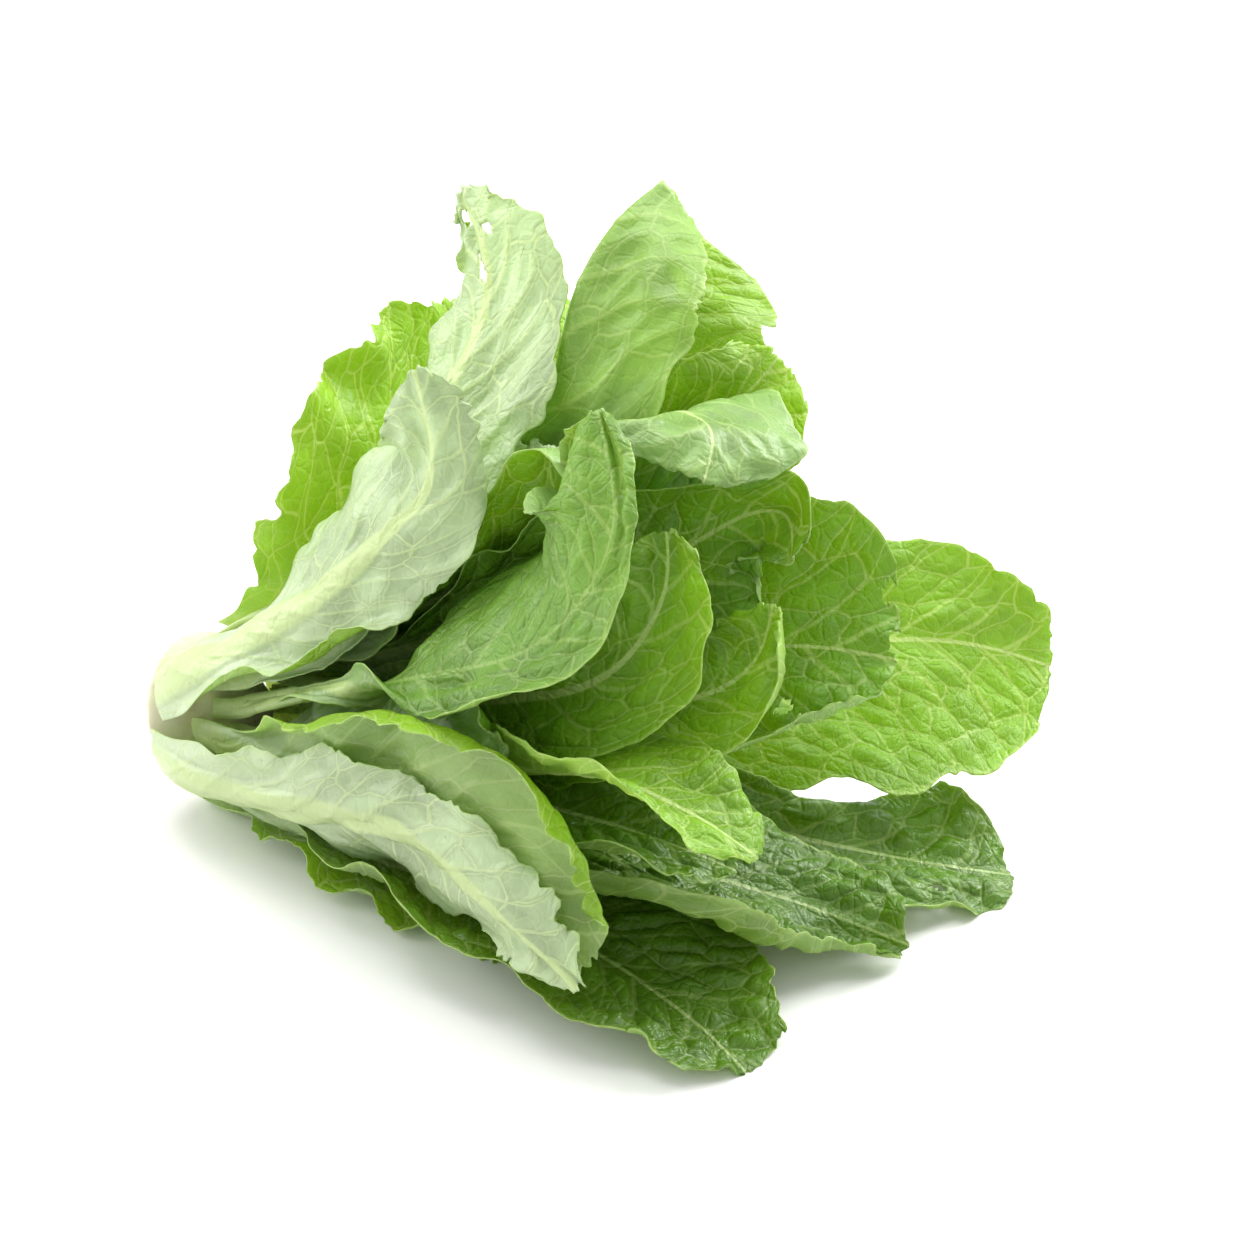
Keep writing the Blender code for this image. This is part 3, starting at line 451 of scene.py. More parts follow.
def ease(thick):
    """The sheets of all leaves, moved until none of them touches another, the core or the surface."""
    count = len(LEAVES)
    matrix = sample_matrix()
    s = np.linspace(0, 1, ROWS + 1)
    rows = GAP_BASE + (GAP_TIP - GAP_BASE) * smoothstep(s / 0.4)
    gaps = matrix @ np.repeat(rows, len(COLUMNS))
    face_array = np.array(FACES)
    thick_samples = [matrix @ t.reshape(-1) for t in thick]
    face_thick = [t.reshape(-1)[face_array].mean(1) for t in thick]
    hold = (HELD_FOOT + (1 - HELD_FOOT) * smoothstep(s / 0.15))[:, None, None]
    shape = (ROWS + 1, len(COLUMNS), 3)
    moved = [np.zeros(shape) for _ in range(count)]
    memory = {}
    room = np.ones((count, ROWS + 1, 2))
    face_row = face_array[:, 0] // len(COLUMNS)
    face_level = COLUMNS[face_array % len(COLUMNS)].mean(1)
    for step in range(GROW_STEPS + SETTLE_STEPS):
        grow = min(1.0, FIRST_WIDTH + (1 - FIRST_WIDTH) * step / (GROW_STEPS - 1))
        aims = [sheet(row, order, grow, room[order]) for order, row in enumerate(LEAVES)]
        grids = [aim + move for aim, move in zip(aims, moved)]
        flats = [grid.reshape(-1, 3) for grid in grids]
        points = [matrix @ flat for flat in flats]
        listed = [p.tolist() for p in points]
        normals = [unit(matrix @ corner_normals(grid).reshape(-1, 3)) for grid in grids]
        trees = [BVHTree.FromPolygons(flat.tolist(), FACES) for flat in flats]
        pushes = [np.zeros_like(flat) for flat in flats]
        less = np.ones_like(room)
        shares = [np.zeros(len(flat)) for flat in flats]
        crossing = set()
        for i in range(count):
            for j in range(i + 1, count):
                if (flats[i].min(0) > flats[j].max(0)).any() or (flats[j].min(0) > flats[i].max(0)).any():
                    continue
                met = trees[i].overlap(trees[j])
                if not met:
                    continue
                memory.pop((i, j), None)
                memory.pop((j, i), None)
                crossing.add((i, j))
                crossing.add((j, i))
                narrow_crossing(less, (i, j), np.array(met), face_level, face_row, NEAR_RIB)
        if step >= SHELL_STEP:
            shells = [np.concatenate([flat, outer_face(grid, t).reshape(-1, 3)])
                      for flat, grid, t in zip(flats, grids, thick)]
            rounds = [BVHTree.FromPolygons(shell.tolist(), SHELL_FACES) for shell in shells]
            for i in range(count):
                for j in range(i + 1, count):
                    met = rounds[i].overlap(rounds[j])
                    if met:
                        narrow_crossing(less, (i, j), SHELL_OWNER[np.array(met)], face_level, face_row, -1)
        for i in range(count):
            low, high = flats[i].min(0) - REACH, flats[i].max(0) + REACH
            find = trees[i].find_nearest
            for j in range(count):
                if i == j:
                    continue
                near = np.nonzero(((points[j] > low) & (points[j] < high)).all(1))[0]
                hits = [(k,) + find(listed[j][k], REACH) for k in near.tolist()]
                hits = [hit for hit in hits if hit[1] is not None]
                if not hits:
                    memory.pop((i, j), None)
                    continue
                at = np.array([hit[0] for hit in hits])
                spots = np.array([hit[1][:] for hit in hits])
                norms = np.array([hit[2][:] for hit in hits])
                faces = np.array([hit[3] for hit in hits])
                off = points[j][at] - spots
                height = (off * norms).sum(1)
                sideways = np.sqrt(np.clip((off * off).sum(1) - height**2, 0, None))
                facing = (norms * normals[j][at]).sum(1)
                side = np.where(height > 0, 1.0, -1.0)
                if (i, j) in crossing:
                    close = np.clip(1 - np.abs(height) / REACH, 0, 1) * (sideways < PAST_EDGE)
                    side = np.full(len(side), 1.0 if (side * close).sum() > 0 else -1.0)
                    side = np.where(np.abs(height) < SURE, side, np.where(height > 0, 1.0, -1.0))
                known = memory.get((i, j))
                if known is not None:
                    side = np.where(known[at] != 0, known[at], side)
                    side = np.where(side * height < -ROUND_EDGE, -side, side)
                side = np.where(sideways > PAST_EDGE, np.where(height > 0, 1.0, -1.0), side)
                if (i, j) not in crossing:
                    known = np.zeros(len(points[j]))
                    known[at] = np.where(sideways < PAST_EDGE, side, 0)
                    memory[(i, j)] = known
                need = gaps[at] + np.where(side > 0, (facing > 0) * thick_samples[j][at],
                                           face_thick[i][faces] + (facing < 0) * thick_samples[j][at])
                short = need - side * height
                weight = np.clip(1 - sideways / PAST_EDGE, 0, 1)
                used = (short > 0) & (weight > 0)
                if not used.any():
                    continue
                push = norms[used] * (side * short * 0.5)[used, None]
                weight = weight[used]
                mix = matrix[at[used]] * weight[:, None]
                pushes[j] += mix.T @ push
                shares[j] += mix.sum(0)
                corners = face_array[faces[used]]
                for corner in range(3):
                    np.add.at(pushes[i], corners[:, corner], -push * weight[:, None] / 3)
                    np.add.at(shares[i], corners[:, corner], weight / 3)
        for i in range(count):
            field = (pushes[i] / np.maximum(shares[i], FEW)[:, None]).reshape(shape)
            field = OWN_PUSH * field + SPREAD_PUSH * smoothed(field, 4)
            grid = aims[i] + moved[i] * (SLACK if step < GROW_STEPS else 1.0) + field * hold
            grid = off_core(grid)
            grid[..., 2] = np.maximum(grid[..., 2], thick[i] + FLOOR_GAP)
            moved[i] = grid - aims[i]
            calm = smoothed(moved[i], 1)
            moved[i] = moved[i] + CALM * (calm - moved[i]) * hold
        around = np.minimum(np.pad(less, ((0, 0), (1, 0), (0, 0)), mode="edge")[:, :-1],
                            np.pad(less, ((0, 0), (0, 1), (0, 0)), mode="edge")[:, 1:])
        room = room * (less + around) / 2
    return [aim + move for aim, move in zip(aims, moved)]


SINK = 1.0  # how far the eased head settles


def centre_shift(grids):
    """How far the middle of the leaves' box is from the stem, along the surface."""
    every = np.concatenate([grid.reshape(-1, 3) for grid in grids])
    middle = (every.min(0) + every.max(0)) / 2
    middle[2] = SINK
    return np.round(middle, 1)


# How the leaves are made finer. Lengths are in millimetres.
FINE_ROWS = 170  # along a leaf
FINE_COLUMNS = 88  # across it
EDGE = 0.3  # blade thickness at the margin
CROWDING = 0.72  # how much closer the columns are at the margins
MARGIN_SEED = 700
STEM_SEED = 31
STEM_RINGS, STEM_SIDES = 46, 120
TEETH, SCALLOPS, WAVES, TIP_TEETH = 90, 34, 26, 30  # how many knots each line of the margin has
GROOVE = 0.35  # depth along the midrib's inner side, beside the rib's height
RAGGED = 0.22  # how ragged the rim of a hole is
LOWEST = 0.02  # of a leaf's outer face above the surface, and of its inner face
LOWEST_INNER = 0.3
TIP_ROUNDING = 6.0  # how far the corners of a leaf's end fall back


def place_weights(knots, places):
    """Weights that lead a smooth line through unevenly spaced points, as a matrix."""
    count = len(knots)
    gaps = np.diff(knots)
    inner = np.zeros((count, count))
    right = np.zeros((count, count))
    inner[0, 0] = inner[-1, -1] = 1.0
    for k in range(1, count - 1):
        inner[k, k - 1] = gaps[k - 1]
        inner[k, k] = 2 * (gaps[k - 1] + gaps[k])
        inner[k, k + 1] = gaps[k]
        right[k, k + 1] += 6 / gaps[k]
        right[k, k] -= 6 / gaps[k] + 6 / gaps[k - 1]
        right[k, k - 1] += 6 / gaps[k - 1]
    bends = np.linalg.solve(inner, right)
    matrix = np.zeros((len(places), count))
    for row, place in enumerate(places):
        k = int(np.clip(np.searchsorted(knots, place) - 1, 0, count - 2))
        h = gaps[k]
        a, b = (knots[k + 1] - place) / h, (place - knots[k]) / h
        matrix[row, k] += a
        matrix[row, k + 1] += b
        matrix[row] += ((a**3 - a) * bends[k] + (b**3 - b) * bends[k + 1]) * h**2 / 6
    return matrix


ALONG = np.linspace(0, 1, FINE_ROWS)
ACROSS_LEAF = np.sin(np.linspace(-1, 1, FINE_COLUMNS) * math.pi / 2 * CROWDING)
ACROSS_LEAF /= math.sin(math.pi / 2 * CROWDING)
ROW_WEIGHTS = place_weights(np.linspace(0, 1, ROWS + 1), ALONG)
COLUMN_WEIGHTS = place_weights(COLUMNS, ACROSS_LEAF)


def fine_sheet(grid):
    """The sheet of a leaf on the fine grid."""
    return np.einsum("ij,jkx,lk->ilx", ROW_WEIGHTS, grid, COLUMN_WEIGHTS)


def noise_lines(rng, length, knots):
    """A smooth random line of values near -1 to 1."""
    values = rng.uniform(-1, 1, knots)
    at = np.linspace(0, knots - 1, length)
    whole = np.minimum(at.astype(int), knots - 2)
    share = smoothstep(at - whole)
    return values[whole] * (1 - share) + values[whole + 1] * share


def flat_places(sheet_points):
    """How far each point is across its leaf from the midrib, and along it, measured on the sheet."""
    steps = np.linalg.norm(np.diff(sheet_points, axis=1), axis=2)
    across = np.concatenate([np.zeros((FINE_ROWS, 1)), np.cumsum(steps, axis=1)], axis=1)
    middle = np.array([np.interp(0.0, ACROSS_LEAF, row) for row in across])
    rib = np.array([[np.interp(0.0, ACROSS_LEAF, sheet_points[r, :, k]) for k in range(3)]
                    for r in range(FINE_ROWS)])
    along = np.concatenate([[0.0], np.cumsum(np.linalg.norm(np.diff(rib, axis=0), axis=1))])
    return across - middle[:, None], np.repeat(along[:, None], FINE_COLUMNS, axis=1)


def dressed_leaf(row, order, grid, thick, values):
    """The mesh of one leaf: both faces, its rib, its waved and toothed margin, and its holes."""
    rng = np.random.default_rng(MARGIN_SEED + order)
    base = fine_sheet(grid)
    across, along = flat_places(base)
    normal = corner_normals(base)
    share = ALONG[:, None]
    reach = np.abs(ACROSS_LEAF)[None, :]
    grown = smoothstep((share - 0.12) / 0.2)
    outward = unit(np.gradient(base, axis=1)) * np.sign(ACROSS_LEAF)[None, :, None]
    for side in (0, 1):
        here = (ACROSS_LEAF > 0) == bool(side)
        teeth = noise_lines(rng, FINE_ROWS, TEETH) * 0.7 + noise_lines(rng, FINE_ROWS, SCALLOPS) * 1.1
        frill = noise_lines(rng, FINE_ROWS, WAVES)
        shift = (teeth * values["teeth"])[:, None] * reach**16 * grown
        lift = (frill * values["frill"])[:, None] * reach**7 * grown
        base = base + here[None, :, None] * (outward * shift[..., None] + normal * lift[..., None])
    tip_teeth = noise_lines(rng, FINE_COLUMNS, TIP_TEETH) * values["teeth"]
    forward = unit(np.gradient(base, axis=0))
    rounding = TIP_ROUNDING * reach**2.2 * smoothstep((share - 0.8) / 0.2)
    base = base + forward * (tip_teeth[None, :] * share**40 - rounding)[..., None]
    normal = corner_normals(base)
    away = np.abs(across)
    blade = values["blade"] * (1 - reach**8) + EDGE * reach**8
    coarse = np.einsum("ij,jk,lk->il", ROW_WEIGHTS, thick, COLUMN_WEIGHTS)
    rib_reach = 1.2 + 7.5 * (1 - share) ** 1.15
    middle = [np.abs(ACROSS_LEAF).argmin()]
    rib_rise = np.clip(coarse[:, middle] - BLADE, 0, None) * 0.95 + 0.5 * (1 - share)
    dome = np.sqrt(np.clip(1 - (away / rib_reach) ** 2, 0, 1))
    rib = rib_rise * dome * smoothstep(dome / 0.5)
    groove = -GROOVE * rib_rise * np.exp(-((away / (0.45 * rib_reach)) ** 2))
    inner = base + normal * groove[..., None]
    outer = base - normal * (blade + rib)[..., None]
    keep = np.ones((FINE_ROWS - 1, FINE_COLUMNS - 1), bool)
    spot = (along[:-1, :-1] + along[1:, 1:]) / 2, (across[:-1, :-1] + across[1:, 1:]) / 2
    for at, size in HOLES.get(row["name"], ()):
        keep &= ~hole_mask(at, size, spot, along[-1, 0], rng)
    return inner, outer, normal, keep, across, along, share, rib_reach


def hole_mask(at, size, spot, length, rng):
    """Where a hole takes the blade away. at is a share of the length and millimetres across, size is
    half its length and half its width."""
    y = spot[0] - at[0] * length
    x = spot[1] - at[1]
    turn = math.radians(at[2]) if len(at) > 2 else 0.0
    a = y * math.cos(turn) + x * math.sin(turn)
    b = x * math.cos(turn) - y * math.sin(turn)
    around = np.arctan2(b / size[1], a / size[0])
    wander = 0.0
    for k in range(1, 6):
        wander = wander + rng.uniform(-1, 1) / k * np.sin((2 * k + 1) * around + rng.uniform(0, 6))
    radius = np.sqrt((a / size[0]) ** 2 + (b / size[1]) ** 2)
    return radius < 1 + RAGGED * wander


def shell_mesh(name, inner, outer, keep):
    """Both faces of a leaf and the rim between them, where the blade is kept."""
    index = np.arange(FINE_ROWS * FINE_COLUMNS).reshape(FINE_ROWS, FINE_COLUMNS)
    a, b = index[:-1, :-1][keep], index[:-1, 1:][keep]
    c, d = index[1:, 1:][keep], index[1:, :-1][keep]
    total = FINE_ROWS * FINE_COLUMNS
    front = np.stack([a, b, c, d], axis=1)
    back = np.stack([a, d, c, b], axis=1) + total
    edges = np.concatenate([front[:, [0, 1]], front[:, [1, 2]], front[:, [2, 3]], front[:, [3, 0]]])
    key = np.sort(edges, axis=1)
    _, first, count = np.unique(key, axis=0, return_index=True, return_counts=True)
    rim = edges[first[count == 1]]
    sides = np.stack([rim[:, 1], rim[:, 0], rim[:, 0] + total, rim[:, 1] + total], axis=1)
    faces = np.concatenate([front, back, sides])
    every = np.concatenate([inner.reshape(-1, 3), outer.reshape(-1, 3)])
    used = np.unique(faces)
    renumber = np.full(2 * total, -1)
    renumber[used] = np.arange(len(used))
    faces = renumber[faces]
    mesh = bpy.data.meshes.new(name)
    mesh.vertices.add(len(used))
    mesh.vertices.foreach_set("co", (every[used] * MM).astype(np.float32).ravel())
    mesh.loops.add(faces.size)
    mesh.loops.foreach_set("vertex_index", faces.astype(np.int32).ravel())
    mesh.polygons.add(len(faces))
    mesh.polygons.foreach_set("loop_start", np.arange(0, faces.size, 4, dtype=np.int32))
    slots = np.concatenate([np.zeros(len(front)), np.ones(len(back) + len(sides))]).astype(np.int32)
    mesh.polygons.foreach_set("material_index", slots)
    mesh.polygons.foreach_set("use_smooth", np.ones(len(faces), bool))
    mesh.update(calc_edges=True)
    mesh.validate()
    return mesh, used % total, used < total, faces


def give_map(mesh, name, values, faces, owner):
    layer = mesh.uv_layers.new(name=name, do_init=False)
    layer.uv.foreach_set("vector", values[owner[faces.ravel()]].astype(np.float32).ravel())


def give_points(mesh, name, kind, values):
    made = mesh.attributes.new(name, kind, "POINT")
    made.data.foreach_set("vector" if kind == "FLOAT_VECTOR" else "value", values.astype(np.float32).ravel())


# The veins and blisters of a leaf, as nodes that its material and its relief both use.
VEIN_WANDER = 20.0  # how far the side veins stray, and how far they wriggle
VEIN_WRIGGLE = 2.6
VEIN_CURVE = 0.88  # how the side veins bend up towards the margin
VEIN_LAG = 0.22  # how far the two halves' side veins are out of step
NET_WARP = 0.045  # decimetres by which the nets are warped
FINE_PER_CELL, HAIR_PER_CELL = 2.4, 5.5  # cells of the finer nets along one of the first
BROWN = (0.16, 0.09, 0.02)


class Value:
    """What a node gives out. Sums and products of values are made as nodes."""

    def __init__(self, socket):
        self.socket = socket
        self.tree = socket.id_data

    def maths(self, operation, *others):
        return value(self.tree, "ShaderNodeMath", enumerate((self, *others)), operation=operation)

    def __add__(self, other):
        return self.maths("ADD", other)

    def __sub__(self, other):
        return self.maths("SUBTRACT", other)

    def __mul__(self, other):
        return self.maths("MULTIPLY", other)

    def __truediv__(self, other):
        return self.maths("DIVIDE", other)

    def __mod__(self, other):
        return self.maths("MODULO", other)

    def __pow__(self, other):
        return self.maths("POWER", other)

    def __abs__(self):
        return self.maths("ABSOLUTE")

    def ramp(self, start, end, low=0.0, high=1.0, smooth=True):
        return value(self.tree, "ShaderNodeMapRange", {0: self, 1: start, 2: end, 3: low, 4: high},
                     interpolation_type="SMOOTHSTEP" if smooth else "LINEAR")


def feed(socket, given):
    """Links a value to a socket, or sets what is given there."""
    if isinstance(given, Value):
        given.tree.links.new(given.socket, socket)
    else:
        socket.default_value = given


def node(tree, kind, inputs=(), **settings):
    made = tree.nodes.new(kind)
    for key, setting in settings.items():
        setattr(made, key, setting)
    for key, given in dict(inputs).items():
        feed(made.inputs[key], given)
    return made


def value(tree, kind, inputs=(), output=0, **settings):
    return Value(node(tree, kind, inputs, **settings).outputs[output])


def noise(place, scale, detail=2.0, **settings):
    return value(place.tree, "ShaderNodeTexNoise", {"Vector": place, "Scale": scale, "Detail": detail},
                 noise_dimensions="2D", **settings)


def vectors(operation, first, second, at=1):
    return value(first.tree, "ShaderNodeVectorMath", {0: first, at: second}, operation=operation)


def separate(place):
    return [Value(socket) for socket in node(place.tree, "ShaderNodeSeparateXYZ", {0: place}).outputs]


def combined(x, y):
    return value(x.tree, "ShaderNodeCombineXYZ", {0: x, 1: y})


def mixed(share, first, second):
    made = node(share.tree, "ShaderNodeMix", {0: share}, data_type="RGBA")
    for socket, given in ((made.inputs[6], first), (made.inputs[7], second)):
        feed(socket, given if isinstance(given, Value) else (*given, 1.0))
    return Value(made.outputs[2])


def edge_distance(place, cell, loose):
    """Distance in millimetres from the edges of cells about as wide as `cell`. place is in decimetres."""
    return value(place.tree, "ShaderNodeTexVoronoi",
                 {"Vector": place, "Scale": 100.0 / cell, "Randomness": loose}, "Distance",
                 voronoi_dimensions="2D", feature="DISTANCE_TO_EDGE") * cell


def vein_pattern(flat, share, kind):
    """Distances in millimetres from the side veins and from the nets between them, and the shares
    across and along. flat holds decimetres; share holds the leaf's number too, as twice the whole."""
    spacing, cell = kind["spacing"], kind["cell"]
    across, along = separate(share)[:2]
    v, s = abs(across), along % 2.0
    number = (along - s) * 1.7
    own = vectors("ADD", flat, combined(number, number * 2.3))
    x, y = (part * 100.0 for part in separate(flat)[:2])
    out = abs(x)
    wander = (noise(own, 2.6, 1.0) - 0.5) * VEIN_WANDER
    wriggle = (noise(own, 12.0, 1.0) - 0.5) * VEIN_WRIGGLE
    lift = (out + 0.01) ** VEIN_CURVE * kind["slope"]
    place = y - lift + (wander + wriggle)
    place = place / spacing + x.maths("SIGN") * VEIN_LAG
    side_vein = abs(place.maths("FRACT") - 0.5) * (spacing * 0.55)
    warp = vectors("SUBTRACT", noise(own, 8.0, output=1), (0.5, 0.5, 0.5))
    shifted = vectors("ADD", own, vectors("SCALE", warp, NET_WARP, 3))
    moved_x, moved_y = separate(shifted)[:2]
    sheared = combined(moved_x, moved_y * 0.8 - out * 0.007)
    return dict(out=out, v=v, s=s, side_vein=side_vein, own=own, net=edge_distance(sheared, cell, 0.85),
                fine=edge_distance(shifted, cell / FINE_PER_CELL, 0.95),
                hair=edge_distance(shifted, cell / HAIR_PER_CELL, 1.0), soft=noise(own, 5.0, 3.0))


def relief_tree(name, kind):
    """A modifier's nodes that raise the blisters between the veins, and the veins on the outer face."""
    tree = bpy.data.node_groups.new(name, "GeometryNodeTree")
    for way in ("INPUT", "OUTPUT"):
        tree.interface.new_socket("Geometry", in_out=way, socket_type="NodeSocketGeometry")
    enter, leave = tree.nodes.new("NodeGroupInput"), tree.nodes.new("NodeGroupOutput")
    flat, share, up, inner, rib = (
        value(tree, "GeometryNodeInputNamedAttribute", {"Name": key}, data_type=data)
        for key, data in (("flat", "FLOAT_VECTOR"), ("share", "FLOAT_VECTOR"), ("up", "FLOAT_VECTOR"),
                          ("inner", "FLOAT"), ("rib", "FLOAT")))
    p = vein_pattern(flat, share, kind)
    pillow = p["net"].ramp(-0.6, kind["cell"] * 0.42)
    between = p["side_vein"].ramp(0.0, 3.0, 0.4, 1.0)
    swell = pillow.maths("MULTIPLY_ADD", 0.8, 0.2) * between
    swell = p["fine"].ramp(0.0, kind["cell"] * 0.17).maths("MULTIPLY_ADD", 0.10, swell)
    calm = p["v"].ramp(1.0, 0.72)
    beside = (p["out"] - rib).ramp(0.0, 5.0)
    big = (noise(p["own"], 4.2, 1.0) - 0.5) * (kind["swell"] * 2.2)
    rise = (swell * kind["swell"] + big) * (calm * beside)
    rise = rise * (p["s"].ramp(0.10, 0.45) * 0.85 + 0.15)
    ridge = p["side_vein"].ramp(1.5, 0.0) * p["v"].ramp(1.0, 0.1)
    veins = ridge * kind["ridge"] + p["net"].ramp(0.9, 0.0) * 0.12
    veins = veins * inner.ramp(0.0, 1.0, -1.0, 0.35, False)
    offset = vectors("SCALE", up, (rise + veins) * MM, 3)
    moved = node(tree, "GeometryNodeSetPosition", {"Geometry": Value(enter.outputs[0]), "Offset": offset})
    tree.links.new(moved.outputs[0], leave.inputs[0])
    return tree


def plain_material(name):
    made = bpy.data.materials.new(name)
    made.use_nodes = True
    return made, made.node_tree, made.node_tree.nodes["Principled BSDF"].inputs


def leaf_material(name, kind, inner):
    """Leaf skin over its veins. The light that comes through is yellower than the light thrown back."""
    made, tree, skin = plain_material(name)
    flat, share = (value(tree, "ShaderNodeUVMap", uv_map=layer) for layer in ("flat", "share"))
    p = vein_pattern(flat, share, kind)
    look = kind["inner"] if inner else kind["outer"]
    tone = mixed(p["soft"].ramp(0.32, 0.68), look["deep"], look["blade"])
    # Painted shade: the blade darkens towards its low colour in the dents along the net of veins between the
    # blisters.
    tone = mixed(p["net"].ramp(kind["cell"] * 0.16, 0.0) * look["dip"], tone, look["low"])
    near_rib = p["out"].ramp(24.0, 2.0).maths("MULTIPLY_ADD", 0.5, 0.45)
    tone = mixed(p["s"].ramp(look["base_to"], 0.04) * near_rib, tone, look["base"])
    fade = p["v"].ramp(0.95, 0.0, 0.22, 0.85)
    thick_vein = (p["side_vein"] / fade).ramp(1.0, 0.35)
    net_vein = p["net"].ramp(0.40, 0.16) * 0.95
    fine_vein = p["fine"].ramp(0.22, 0.07) * 0.42
    hair_vein = p["hair"].ramp(0.12, 0.03) * 0.2
    lines = thick_vein.maths("MAXIMUM", net_vein).maths("MAXIMUM", fine_vein.maths("MAXIMUM", hair_vein))
    tone = mixed(lines * look["veins"], tone, look["vein"])
    narrowing = p["s"].ramp(1.0, 0.0, smooth=False) ** kind["narrowing"]
    on_rib = (p["out"] / narrowing.maths("MULTIPLY_ADD", look["rib_wide"], 0.45)).ramp(1.1, 0.7)
    tone = mixed(on_rib * 0.92, tone, look["rib"])
    # Painted rim highlight: the outermost strip of the margin is brightened towards lime and the rib's
    # colour.
    tone = mixed(p["v"].ramp(0.95, 1.0) * 0.6, tone, look["rim"])
    specks = noise(p["own"], 60.0, 4.0)
    brown = specks.ramp(0.71, 0.78) * p["soft"].ramp(0.58, 0.68)
    feed(skin["Base Color"], mixed(brown * 0.45, tone, BROWN))
    wax = noise(p["own"], 9.0, 3.0).ramp(0.35, 0.7, 0.0, 0.16)
    feed(skin["Roughness"], specks.maths("MULTIPLY_ADD", 0.14, look["rough"]) + wax)
    feed(skin["Coat Weight"], look["coat"])
    feed(skin["Coat Roughness"], 0.2)
    grain = noise(p["own"], 210.0, 3.0) * 0.10
    tiny = p["hair"].ramp(0.0, 0.45) * 0.16
    mid = p["fine"].ramp(0.0, 0.9) * 0.45
    wide = p["net"].ramp(0.0, 1.5) * 0.6
    strength, distance = (0.6, 0.0011) if inner else (0.4, 0.0007)
    feed(skin["Normal"], value(tree, "ShaderNodeBump", {"Strength": strength, "Distance": distance,
                                                        "Height": grain + tiny + (mid + wide)}))
    through = mixed(lines * 0.95, kind["through"], kind["through_vein"])
    through = mixed(on_rib * 0.85, through, kind["through_rib"])
    glow = value(tree, "ShaderNodeBsdfTranslucent", {"Color": through})
    both = value(tree, "ShaderNodeMixShader", {0: look["thin"], 2: glow,
                                               1: Value(tree.nodes["Principled BSDF"].outputs[0])})
    feed(tree.nodes["Material Output"].inputs["Surface"], both)
    return made


# Where the blades are torn or eaten: a share of the length, millimetres across and a turn, then the
# hole's half-length and half-width.
HOLES = {
    "leaf_top_left": (((0.955, 3.0), (2.8, 2.2)), ((0.915, -3.5), (1.8, 1.3)), ((0.86, 2.0, 8.0), (5.5, 1.2)),
                      ((0.62, 21.0), (9.0, 6.0)), ((0.44, 24.0), (9.0, 8.0))),
    "leaf_top_middle": (((0.74, 44.0, 20.0), (5.0, 1.5)),),
    "leaf_torn": (((0.72, 4.0), (4.5, 3.2)), ((0.98, 8.0), (6.0, 7.0)), ((0.9, -15.0), (8.0, 4.0))),
    "leaf_right_near": (((0.90, 25.0), (2.2, 5.0)), ((0.865, 18.0), (2.8, 2.4)), ((1.0, -5.0), (2.5, 3.5)),
                        ((0.99, -17.0), (3.0, 3.0))),
    "leaf_right_low": (((0.9, 12.0), (2.2, 1.6)),),
}

# How each leaf is dressed, group by group: its kind of skin, then how strongly its margin is toothed
# and frilled.
NEAR_LEAVES = {
    "leaf_floor_near": ("lime", 1.4, 2.6), "leaf_near_low": ("pale", 1.4, 1.6),
    "leaf_near_high": ("pale", 0.9, 1.4), "leaf_near_inner": ("lime", 1.5, 2.2),
    "leaf_front_low": ("dark", 0.9, 1.8),
}
UPPER_LEAVES = {
    "leaf_top_left": ("pale", 1.3, 1.2), "leaf_top_middle": ("top", 0.8, 1.2),
    "leaf_top_right": ("lime", 1.0, 1.5), "leaf_torn": ("pale", 1.6, 1.0),
    "leaf_folded_top": ("green", 0.8, 1.8), "leaf_folded_near": ("folded", 0.7, 1.0),
}
FAR_LEAVES = {
    "leaf_back_left": ("lime", 2.2, 2.0), "leaf_back_high": ("lime", 0.9, 1.2),
    "leaf_back_middle": ("green", 0.8, 1.2), "leaf_right_far": ("heart", 0.8, 1.2),
    "leaf_right_near": ("green", 0.8, 1.6), "leaf_right_low": ("dark", 0.9, 1.8),
    "leaf_floor_far": ("green", 0.8, 1.5), "leaf_dark_low": ("dark", 0.9, 2.0),
}
HEART_LEAVES = {
    "leaf_right_cup": ("green", 0.8, 1.5), "leaf_heart_rim": ("heart", 0.7, 1.4),
    # leaf_heart_low takes the dark skin as painted shade, for its place deep in the heart.
    "leaf_heart_low": ("dark", 0.7, 1.5), "leaf_heart_cup": ("heart", 0.7, 1.0),
    "leaf_heart_small": ("green", 0.8, 1.4), "leaf_heart_front": ("heart", 0.8, 1.6),
}
DRESS = NEAR_LEAVES | UPPER_LEAVES | FAR_LEAVES | HEART_LEAVES


def factor(name, description):
    return FloatProperty(name=name, description=description, default=1.0, subtype="FACTOR")


def colour(name, description, default):
    return FloatVectorProperty(name=name, description=description, default=default, subtype="COLOR", size=3)


class LettuceSizes(bpy.types.PropertyGroup):
    """Sizes of the leaves' finer form."""
    blade: FloatProperty(name="Blade thickness", description="Thickness of a blade between its veins",
                         default=0.00062, unit="LENGTH")
    swell: factor("Blisters", "How far the skin rises between the veins, as a factor")
    teeth: factor("Teeth", "How jagged the margins are, as a factor")
    frill: factor("Frill", "How much the margins wave, as a factor")


